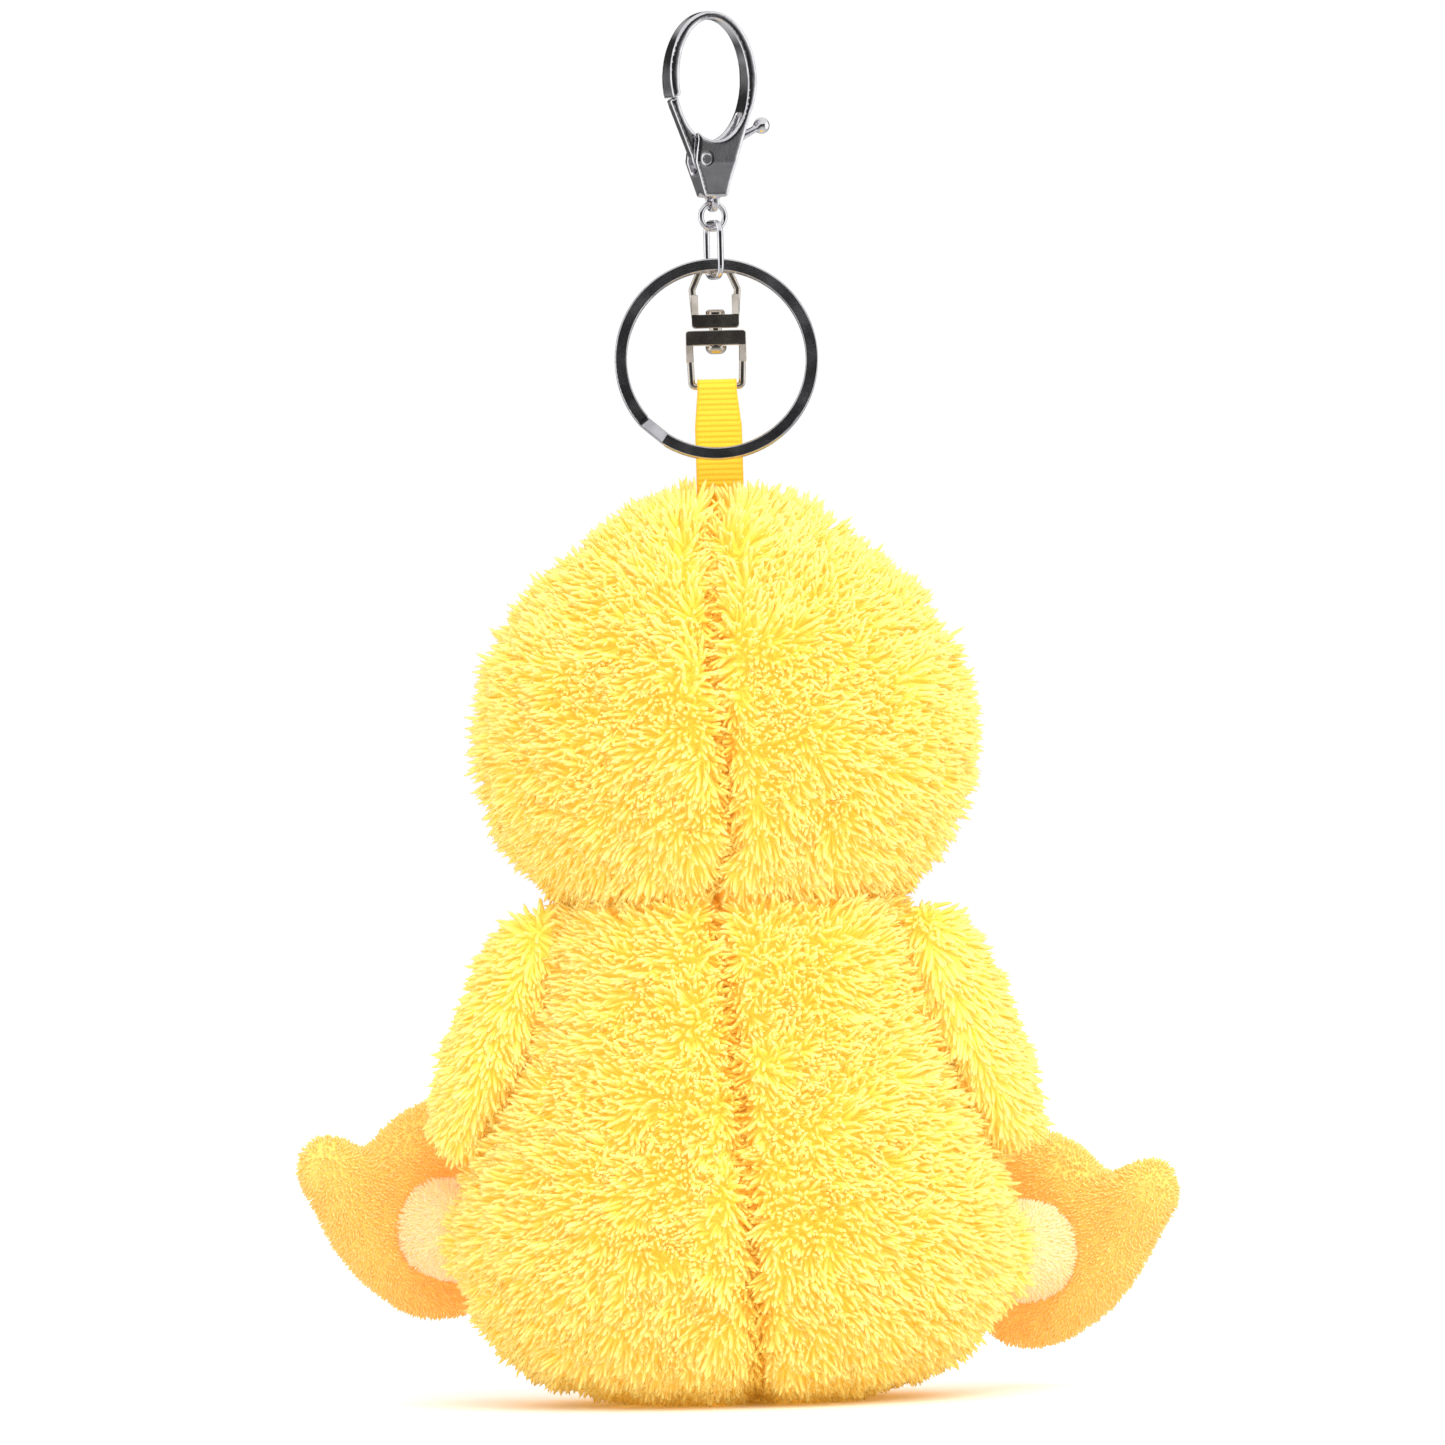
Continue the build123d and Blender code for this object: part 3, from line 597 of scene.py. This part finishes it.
def grow_pile(piece, lock, spacing, length, width, clump, pull, swirl, seed):
    """Covers the piece with copies of a lock. The locks of one clump lean together, follow the
    piece's comb vectors and its pile lengths, and miss the faces whose cover is 0."""
    lock.data.materials.clear()
    lock.data.materials.append(piece.data.materials[0])
    tree = bpy.data.node_groups.new("pile", "GeometryNodeTree")
    tree.interface.new_socket("Geometry", in_out="INPUT", socket_type="NodeSocketGeometry")
    tree.interface.new_socket("Geometry", in_out="OUTPUT", socket_type="NodeSocketGeometry")
    inside, outside = tree.nodes.new("NodeGroupInput"), tree.nodes.new("NodeGroupOutput")

    def put(socket, value):
        if isinstance(value, bpy.types.NodeSocket):
            tree.links.new(value, socket)
        elif value is not None:
            socket.default_value = value

    def calc(kind, operation, a, b=None, c=None):
        made = tree.nodes.new(kind)
        made.operation = operation
        scaling = operation == "SCALE"
        put(made.inputs[0], a)
        put(made.inputs["Scale"] if scaling else made.inputs[1], b)
        if c is not None:
            put(made.inputs[2], c)
        return made.outputs["Value" if operation == "DOT_PRODUCT" or kind == "ShaderNodeMath" else "Vector"]

    def vector(operation, a, b=None):
        return calc("ShaderNodeVectorMath", operation, a, b)

    def number(operation, a, b=None, c=None):
        return calc("ShaderNodeMath", operation, a, b, c)

    def mark(name, kind="FLOAT"):
        made = tree.nodes.new("GeometryNodeInputNamedAttribute")
        made.data_type = kind
        made.inputs["Name"].default_value = name
        return made.outputs["Attribute"]

    def chance(low, high, salt):
        made = tree.nodes.new("FunctionNodeRandomValue")
        made.data_type = "FLOAT"
        made.inputs[2].default_value, made.inputs[3].default_value = low, high
        made.inputs["Seed"].default_value = seed + salt
        return made.outputs[1]

    scatter = tree.nodes.new("GeometryNodeDistributePointsOnFaces")
    scatter.distribute_method = "POISSON"
    tree.links.new(inside.outputs["Geometry"], scatter.inputs["Mesh"])
    scatter.inputs["Distance Min"].default_value = spacing
    scatter.inputs["Density Max"].default_value = 4.0 / spacing**2
    put(scatter.inputs["Density Factor"], mark("cover"))
    scatter.inputs["Seed"].default_value = seed
    normal = scatter.outputs["Normal"]
    position = tree.nodes.new("GeometryNodeInputPosition").outputs["Position"]
    wobble = tree.nodes.new("ShaderNodeTexNoise")
    wobble.inputs["Scale"].default_value = 0.5 / clump
    put(wobble.inputs["Vector"], position)
    off_centre = vector("SUBTRACT", wobble.outputs["Color"], (0.5, 0.5, 0.5))
    stray = vector("SCALE", off_centre, clump * 1.6)
    cells = tree.nodes.new("ShaderNodeTexVoronoi")
    cells.inputs["Scale"].default_value = 1 / clump
    put(cells.inputs["Vector"], vector("ADD", position, stray))
    offset = vector("SUBTRACT", cells.outputs["Position"], vector("ADD", position, stray))
    standing = vector("SCALE", normal, vector("DOT_PRODUCT", offset, normal))
    flat = vector("SUBTRACT", offset, standing)
    gather = vector("SCALE", flat, pull / length)
    curl = tree.nodes.new("ShaderNodeTexNoise")
    curl.inputs["Scale"].default_value = 0.28 / clump
    put(curl.inputs["Vector"], position)
    sway = vector("SCALE", vector("SUBTRACT", curl.outputs["Color"], (0.5, 0.5, 0.5)), swirl)
    lay = vector("ADD", vector("ADD", normal, mark("comb", "FLOAT_VECTOR")), vector("ADD", gather, sway))
    loose = tree.nodes.new("FunctionNodeRandomValue")
    loose.data_type = "FLOAT_VECTOR"
    loose.inputs[0].default_value, loose.inputs[1].default_value = (-0.28,) * 3, (0.28,) * 3
    loose.inputs["Seed"].default_value = seed + 1
    lay = vector("NORMALIZE", vector("ADD", lay, loose.outputs[0]))
    turn = tree.nodes.new("FunctionNodeAlignRotationToVector")
    turn.axis = "Z"
    put(turn.inputs["Vector"], lay)
    spin = tree.nodes.new("FunctionNodeAxisAngleToRotation")
    spin.inputs["Axis"].default_value = (0, 0, 1)
    put(spin.inputs["Angle"], chance(0, 2 * math.pi, 2))
    spun = tree.nodes.new("FunctionNodeRotateRotation")
    spun.rotation_space = "LOCAL"
    put(spun.inputs["Rotation"], turn.outputs["Rotation"])
    put(spun.inputs["Rotate By"], spin.outputs["Rotation"])
    parts = tree.nodes.new("ShaderNodeSeparateXYZ")
    put(parts.inputs[0], cells.outputs["Color"])
    own = number("MULTIPLY_ADD", parts.outputs["X"], 0.42, 0.78)
    edge = number("MULTIPLY_ADD", cells.outputs["Distance"], -0.28, 1.08)
    reach = number("MULTIPLY", number("MULTIPLY", own, edge), number("MULTIPLY", mark("pile"), chance(0.9, 1.1, 3)))
    reach = number("MULTIPLY", reach, length)
    breadth = chance(0.8 * width, 1.2 * width, 4)
    size = tree.nodes.new("ShaderNodeCombineXYZ")
    put(size.inputs["X"], breadth)
    put(size.inputs["Y"], breadth)
    put(size.inputs["Z"], reach)
    tinted = tree.nodes.new("GeometryNodeStoreNamedAttribute")
    tinted.data_type, tinted.domain = "FLOAT", "POINT"
    tinted.inputs["Name"].default_value = "tint"
    put(tinted.inputs["Geometry"], scatter.outputs["Points"])
    put(tinted.inputs["Value"], parts.outputs["Y"])
    shape = tree.nodes.new("GeometryNodeObjectInfo")
    shape.inputs["Object"].default_value = lock
    planted = tree.nodes.new("GeometryNodeInstanceOnPoints")
    put(planted.inputs["Points"], tinted.outputs["Geometry"])
    put(planted.inputs["Instance"], shape.outputs["Geometry"])
    put(planted.inputs["Rotation"], spun.outputs["Rotation"])
    put(planted.inputs["Scale"], size.outputs["Vector"])
    real = tree.nodes.new("GeometryNodeRealizeInstances")
    put(real.inputs[0], planted.outputs["Instances"])
    both = tree.nodes.new("GeometryNodeJoinGeometry")
    tree.links.new(inside.outputs["Geometry"], both.inputs[0])
    tree.links.new(real.outputs[0], both.inputs[0])
    tree.links.new(both.outputs[0], outside.inputs["Geometry"])
    clear_selection()
    piece.select_set(True)
    bpy.context.view_layer.objects.active = piece
    growth = piece.modifiers.new("growth", "NODES")
    growth.node_group = tree
    bpy.ops.object.modifier_apply(modifier="growth")
    for spent in ("cover", "comb", "pile"):
        if spent in piece.data.attributes:
            piece.data.attributes.remove(piece.data.attributes[spent])
    print("pile", piece.name, len(piece.data.polygons))


def comb_over(piece, droop=0.25, part=0.35, keep=None):
    """Marks where pile grows on a panel, how long it is and which way it lies. It hangs a little,
    parts at the seams and is short where it is sewn."""
    co = points_of(piece)
    seam = seam_wander(co[:, 2]) * np.clip((co[:, 1] - plush_middle) / (8 * MM), 0, 1)
    away = co[:, 0] - seam
    beside = np.exp(-((away / (2.3 * MM)) ** 2))
    comb = np.zeros_like(co)
    comb[:, 2] = -droop
    comb[:, 0] = np.sign(away) * part * np.exp(-np.abs(away) / (7 * MM))
    pile = 1 - 0.5 * beside
    if keep is not None:
        pile = pile * keep(co)
    mark_points(piece, comb=comb, pile=pile, valley=beside)
    corners = np.array([len(p.vertices) for p in piece.data.polygons])
    middle = np.array([p.center for p in piece.data.polygons])
    from_axis = np.hypot(middle[:, 0], middle[:, 1] - plush_middle)
    in_neck = (np.abs(middle[:, 2] + 125.2 * MM) < 2.5 * MM) & (from_axis < 16 * MM)
    cover = np.where((corners > 8) | in_neck, 0.0, 1.0).astype(np.float32)
    marks = piece.data.attributes.new("cover", "FLOAT", "FACE")
    marks.data.foreach_set("value", cover)


pile_colour = bpy.data.node_groups.new("pile_colour", "ShaderNodeTree")
for label in ("Root", "Middle", "Tip"):
    pile_colour.interface.new_socket(label, in_out="INPUT", socket_type="NodeSocketColor")
pile_colour.interface.new_socket("Colour", in_out="OUTPUT", socket_type="NodeSocketColor")
pile_colour.interface.new_socket("Glow", in_out="OUTPUT", socket_type="NodeSocketColor")
pile_colour.interface.new_socket("Grain", in_out="OUTPUT", socket_type="NodeSocketFloat")
p_in, p_out = pile_colour.nodes.new("NodeGroupInput"), pile_colour.nodes.new("NodeGroupOutput")


def pile_mark(name):
    made = pile_colour.nodes.new("ShaderNodeAttribute")
    made.attribute_name = name
    return made.outputs["Fac"]


def pile_range(value, low, high, to_low, to_high):
    made = pile_colour.nodes.new("ShaderNodeMapRange")
    pile_colour.links.new(value, made.inputs["Value"])
    ends = {"From Min": low, "From Max": high, "To Min": to_low, "To Max": to_high}
    for key, number in ends.items():
        made.inputs[key].default_value = number
    return made.outputs["Result"]


def pile_mix(factor, a, b, blend="MIX"):
    made = pile_colour.nodes.new("ShaderNodeMix")
    made.data_type, made.blend_type = "RGBA", blend
    for key, value in (("Factor", factor), ("A", a), ("B", b)):
        if isinstance(value, bpy.types.NodeSocket):
            pile_colour.links.new(value, made.inputs[key])
        else:
            made.inputs[key].default_value = value
    return made.outputs["Result"]


# Painted shade and light: the pile is darker towards its roots, as the shade deep in the pile, and paler at its
# tips, where light falls on it. The tint of each clump differs at random.
along_value = pile_mark("along")
root_to_middle = pile_range(along_value, 0.15, 0.6, 0, 1)
root_shade_to_middle = pile_mix(root_to_middle, p_in.outputs["Root"], p_in.outputs["Middle"])
fair = pile_mix(pile_range(along_value, 0.5, 1.0, 0, 1), root_shade_to_middle, p_in.outputs["Tip"])
fair = pile_mix(pile_range(pile_mark("tint"), 0, 1, 0.0, 0.35), fair, p_in.outputs["Middle"])
# Painted shade: along the seam valley the colour is drawn towards the darker root colour.
colour_with_valley_shade = pile_mix(pile_range(pile_mark("valley"), 0.2, 1, 0, 0.9), fair, p_in.outputs["Root"])
pile_place = pile_colour.nodes.new("ShaderNodeTexCoord")
fibres = pile_colour.nodes.new("ShaderNodeTexNoise")
fibres.inputs["Scale"].default_value = 2600
fibres.inputs["Detail"].default_value = 3
pile_colour.links.new(pile_place.outputs["Object"], fibres.inputs["Vector"])
# Painted glow: the roots glow in the root colour, fading to nothing at the tips and in the seam valley, in place of
# light scattered through the pile.
painted_pile_glow = pile_mix(pile_range(along_value, 0.3, 1.0, 0, 1), p_in.outputs["Root"], (0, 0, 0, 1))
painted_pile_glow = pile_mix(pile_range(pile_mark("valley"), 0.2, 1, 0, 0.9), painted_pile_glow, (0, 0, 0, 1))
pile_colour.links.new(colour_with_valley_shade, p_out.inputs["Colour"])
pile_colour.links.new(painted_pile_glow, p_out.inputs["Glow"])
pile_colour.links.new(fibres.outputs["Fac"], p_out.inputs["Grain"])


def pile_cloth(name, root, middle, tip, roughness, sheen):
    """Long or short pile: painted shade at the roots, painted light on the paler ends, a painted glow from within
    the pile, a soft edge and fine fibres.
    """
    material, tree, shader = new_material(name)
    colours = tree.nodes.new("ShaderNodeGroup")
    colours.node_tree = pile_colour
    for label, value in (("Root", root), ("Middle", middle), ("Tip", tip)):
        colours.inputs[label].default_value = linear(value)
    grain = tree.nodes.new("ShaderNodeBump")
    grain.inputs["Strength"].default_value = 0.35
    grain.inputs["Distance"].default_value = 0.0002
    tree.links.new(colours.outputs["Colour"], shader.inputs["Base Color"])
    tree.links.new(colours.outputs["Grain"], grain.inputs["Height"])
    tree.links.new(grain.outputs["Normal"], shader.inputs["Normal"])
    shader.inputs["Roughness"].default_value = roughness
    shader.inputs["Specular IOR Level"].default_value = 0.05
    shader.inputs["Sheen Weight"].default_value = sheen
    shader.inputs["Sheen Roughness"].default_value = 0.5
    # Painted glow: the pile's roots emit their own colour, in place of light scattered through the fibres.
    tree.links.new(colours.outputs["Glow"], shader.inputs["Emission Color"])
    shader.inputs["Emission Strength"].default_value = 0.3
    return material


# Painted shade and light: the root colour is the darkest and the tip colour the palest.
yellow_fur = pile_cloth("yellow_fur", "#FFDB68", "#FFE478", "#FFE994", 0.95, 0.0)
long_lock_rings = [(0, 0.5, 0), (0.55, 0.52, 0.25), (0.88, 0.34, 0.7), (1.0, 0, 0.95)]
long_lock = lock_shape("long_lock", long_lock_rings)


def cloth_levels(rings):
    """The rings as heights, half widths and half depths in metres."""
    return [(level * MM, width * MM, width * cloth_depth_ratio * MM) for level, width in rings]


plush_place = Matrix.Translation((0, plush_middle, 0))
head_form = pull_up("head_form", cloth_levels(head_rings), place=plush_place)
smooth_form(head_form, 1)
stuff(head_form, 3.2 * MM, 60.0, 1.6 * MM, held=lambda co: np.exp(-((co[:, 0] / (3 * MM)) ** 2)))
head_pile = {
    "spacing": 0.5 * MM,
    "length": 5.6 * MM,
    "width": 0.86 * MM,
    "clump": 2.2 * MM,
    "pull": 0.65,
    "swirl": 2.3,
}
for name, side, seed in (("left", 1, 11), ("right", -1, 12)):
    head = panel_of(head_form, f"head_{name}", side)
    sew_valley(head, 2.0 * MM, 4.2 * MM)
    head.data.materials.append(yellow_fur)
    comb_over(head)
    grow_pile(head, long_lock, seed=seed, **head_pile)
    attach(head, "plush")
    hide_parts(*([f"head_cover_{name}"] + (["head_stuffing"] if side == 1 else [])))
bpy.data.objects.remove(head_form)

# ---- Body ----
# Two more panels of the same plush over a round seat panel, stuffed the same way as the head.
body_rings = [
    (-197.4, 13.5),
    (-195.6, 21.5),
    (-191.5, 29.6),
    (-185.0, 35.4),
    (-177.0, 37.2),
    (-167.0, 35.6),
    (-156.0, 31.6),
    (-146.0, 28.0),
    (-136.0, 24.8),
    (-129.0, 23.0),
    (-125.6, 20.0),
    (-124.4, 15.0),
]
body_form = pull_up("body_form", cloth_levels(body_rings), place=plush_place)
smooth_form(body_form, 1)
stuff(body_form, 3.2 * MM, 60.0, 1.6 * MM, held=lambda co: np.exp(-((co[:, 0] / (3 * MM)) ** 2)))


def seat_pile(co):
    """Pile is pressed flat where the duckling sits."""
    return np.interp(co[:, 2], [-197 * MM, -191 * MM], [0.5, 1.0])


for name, side, seed in (("left", 1, 21), ("right", -1, 22)):
    body = panel_of(body_form, f"body_{name}", side)
    sew_valley(body, 2.0 * MM, 3.8 * MM)
    body.data.materials.append(yellow_fur)
    comb_over(body, keep=seat_pile)
    grow_pile(body, long_lock, seed=seed, **head_pile)
    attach(body, "plush")
    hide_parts(*([f"body_cover_{name}"] + (["body_stuffing", "body_seat_panel"] if side == 1 else [])))
bpy.data.objects.remove(body_form)

# ---- Wings ----
# Flat stuffed pads of the same plush, sewn to the body at the shoulders and hanging free.
wing_levels = [
    (0, 4.5, 1.8),
    (5, 8.0, 2.7),
    (12, 10.0, 3.3),
    (21, 10.8, 3.4),
    (28, 9.6, 3.1),
    (33, 6.6, 2.4),
    (36, 3.2, 1.4),
]
wing_root = Vector((27.0, 2.0, -127.5)) * MM
wing_lean = math.radians(23.4)
for name, side, seed in (("left", 1, 31), ("right", -1, 32)):
    root = Vector((side * wing_root.x, wing_root.y, wing_root.z))
    hang = Vector((side * math.sin(wing_lean), 0, -math.cos(wing_lean)))
    across = Vector((0, 1, 0))
    facing = Matrix((across, hang.cross(across), hang)).transposed().to_4x4()
    place = Matrix.Translation(root) @ facing
    inner = [(z * MM, w * MM, d * MM) for z, w, d in wing_levels]
    wing = pull_up(f"wing_{name}_pad", inner, sides=28, place=place)
    smooth_form(wing, 1)
    stuff(wing, 1.6 * MM, 3.0, 0.8 * MM)
    wing.data.materials.append(yellow_fur)
    co = points_of(wing)
    out = np.array(hang) * 1.1
    count = len(co)
    wing_comb = np.tile(out, (count, 1))
    mark_points(wing, comb=wing_comb, pile=np.full(count, 0.82), valley=np.zeros(count))
    wing.data.attributes.new("cover", "FLOAT", "FACE").data.foreach_set(
        "value", np.ones(len(wing.data.polygons), np.float32)
    )
    grow_pile(wing, long_lock, seed=seed, **head_pile)
    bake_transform(wing)
    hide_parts(f"wing_{name}")

# ---- Legs ----
# A furry thigh that turns in the hip, a peach velour tube and an orange velour webbed foot.
short_lock = lock_shape("short_lock", [(0, 0.5, 0), (0.55, 0.45, 0.12), (1.0, 0, 0.5)])
# Painted shade and light: the root colours are the darkest and the tip colours the palest.
orange_velour = pile_cloth("orange_velour", "#FFC068", "#FFCA78", "#FFD590", 0.95, 0.0)
peach_velour = pile_cloth("peach_velour", "#FFD49C", "#FFDBAA", "#FFE4BC", 0.95, 0.0)
velour_pile = {
    "spacing": 0.42 * MM,
    "length": 1.15 * MM,
    "width": 0.42 * MM,
    "clump": 1.1 * MM,
    "pull": 0.35,
    "swirl": 0.9,
}
foot_points = [
    (-12.5, -13.4),
    (-3.5, -14.4),
    (5.0, -10.8),
    (12.0, -5.2),
    (17.2, 2.0),
    (21.2, 8.2),
    (18.2, 12.8),
    (11.8, 11.6),
    (7.6, 11.4),
    (3.4, 14.8),
    (-3.0, 17.4),
    (-8.5, 15.6),
    (-11.5, 7.0),
    (-14.5, -5.0),
]


def closed_line(corners, count):
    """A smooth closed line through the corners, as count points."""
    corners = np.array(corners, float)
    n = len(corners)
    made = []
    for k in range(count):
        t = k * n / count
        i, f = int(t), t - int(t)
        p0, p1, p2, p3 = (corners[(i + j) % n] for j in (-1, 0, 1, 2))
        made.append(
            0.5 * (2 * p1 + (p2 - p0) * f + (2 * p0 - 5 * p1 + 4 * p2 - p3) * f**2
                   + (3 * p1 - p0 - 3 * p2 + p3) * f**3)
        )
    return np.array(made)


def short_pile(piece, material, seed, pile=1.0, comb=(0, 0, -0.2)):
    """Covers a velour piece with its short, even pile."""
    piece.data.materials.append(material)
    count = len(piece.data.vertices)
    combs = np.tile(comb, (count, 1))
    mark_points(piece, comb=combs, pile=np.full(count, pile), valley=np.zeros(count))
    piece.data.attributes.new("cover", "FLOAT", "FACE").data.foreach_set(
        "value", np.ones(len(piece.data.polygons), np.float32)
    )
    grow_pile(piece, short_lock, seed=seed, **velour_pile)


hips = {
    "left": (Vector((34.5, -6.5, -175.8)), Vector((0.64, -0.76, 0.12)).normalized(), 1),
    "right": (Vector((-34.5, -6.5, -179.6)), Vector((-0.62, -0.78, 0.0)).normalized(), -1),
}
for name, (hip, direction, side) in hips.items():
    across = Vector((0, 0, 1)).cross(direction).normalized()
    facing = Matrix((across, direction.cross(across), direction)).transposed().to_4x4()
    place = Matrix.Translation(hip * MM) @ facing
    body_name = f"leg_{name}"

    ball = 9.4 - 3.0
    turns = np.radians(np.linspace(-80, 38, 9))
    thigh = pull_up(
        f"thigh_{name}_pad",
        [(ball * math.sin(t) * MM, ball * math.cos(t) * MM, ball * math.cos(t) * MM) for t in turns],
        sides=24,
        place=place,
    )
    smooth_form(thigh, 1)
    stuff(thigh, 1.4 * MM, 60.0, 0.6 * MM)
    thigh.data.materials.append(yellow_fur)
    count = len(thigh.data.vertices)
    thigh_comb = np.tile((0, 0, -0.3), (count, 1))
    mark_points(thigh, comb=thigh_comb, pile=np.full(count, 0.8), valley=np.zeros(count))
    thigh.data.attributes.new("cover", "FLOAT", "FACE").data.foreach_set(
        "value", np.ones(len(thigh.data.polygons), np.float32)
    )
    grow_pile(thigh, long_lock, seed=41 + side, **head_pile)
    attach(thigh, body_name)
    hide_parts(f"thigh_{name}")

    tube = [(3.0, 6.2), (6.0, 6.6), (8.5, 7.0), (13.0, 6.9), (17.0, 6.5), (18.6, 6.1)]
    tube_rings = [(z * MM, r * MM, r * MM) for z, r in tube]
    leg = pull_up(f"leg_{name}_tube", tube_rings, sides=28, place=place)
    smooth_form(leg, 1)
    stuff(leg, 1.3 * MM, 60.0, 0.5 * MM)
    short_pile(leg, peach_velour, 51 + side)
    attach(leg, body_name)
    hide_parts(f"leg_{name}")

    ring = closed_line([(side * x, y) for x, y in foot_points], 48)
    if side < 0:
        ring = ring[::-1]
    pad = [(18.4, 0.78), (19.3, 0.92), (21.0, 1.0), (22.4, 1.02), (23.8, 1.0), (25.6, 0.92), (26.4, 0.78)]
    foot = pull_up(
        f"foot_{name}_pad",
        [(z * MM, size * MM, size * MM) for z, size in pad],
        sides=48,
        outline=ring,
        place=place,
    )
    smooth_form(foot, 1)
    stuff(foot, 1.3 * MM, 2.0, 0.6 * MM)
    short_pile(foot, orange_velour, 61 + side)
    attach(foot, body_name)
    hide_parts(f"foot_{name}")

# ---- Bill ----
# Two small padded halves of the orange velour, sewn to the front of the head.
bill_root = -1.1 - 36.6 * 0.86 + 3.0
for name, height, half_width, half_height, reach in (
    ("bill_upper", -100.9, 11.5, 4.1, 8.5),
    ("bill_lower", -107.7, 9.0, 2.5, 6.5),
):
    facing = Matrix(((1, 0, 0), (0, 0, 1), (0, -1, 0))).transposed().to_4x4()
    place = Matrix.Translation((0, bill_root * MM, height * MM)) @ facing
    bill = pull_up(
        f"{name}_pad",
        [
            (z * MM, (half_width * w - 0.8) * MM, (half_height * w - 0.7) * MM)
            for z, w in ((0, 1), (reach * 0.3, 0.98), (reach * 0.6, 0.92), (reach + 0.5, 0.72), (reach + 1.8, 0.45))
        ],
        sides=32,
        place=place,
    )
    smooth_form(bill, 1)
    stuff(bill, 1.2 * MM, 60.0, 0.5 * MM)
    short_pile(bill, orange_velour, 71 if name == "bill_upper" else 72)
    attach(bill, "plush")
    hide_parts(name)

# ---- Eyes ----
# Domed black safety eyes pressed through the cloth into lock washers behind it.
eye_plastic, tree, shader = new_material("eye_plastic")
coords = tree.nodes.new("ShaderNodeTexCoord")
specks = tree.nodes.new("ShaderNodeTexNoise")
specks.inputs["Scale"].default_value = 900
tone = tree.nodes.new("ShaderNodeMapRange")
tone.inputs["To Min"].default_value, tone.inputs["To Max"].default_value = 0.08, 0.2
tree.links.new(coords.outputs["Object"], specks.inputs["Vector"])
tree.links.new(specks.outputs["Fac"], tone.inputs["Value"])
tree.links.new(tone.outputs["Result"], shader.inputs["Roughness"])
shader.inputs["Base Color"].default_value = (0.008, 0.007, 0.007, 1)
finish_cad(eye_plastic, "eye_left", "eye_right")
washer_plastic, tree, shader = new_material("washer_plastic")
shader.inputs["Base Color"].default_value = linear("#E8E6DF")
shader.inputs["Roughness"].default_value = 0.5
finish_cad(washer_plastic, "eye_washer_left", "eye_washer_right")

for spent in (long_lock, short_lock):
    bpy.data.objects.remove(spent)
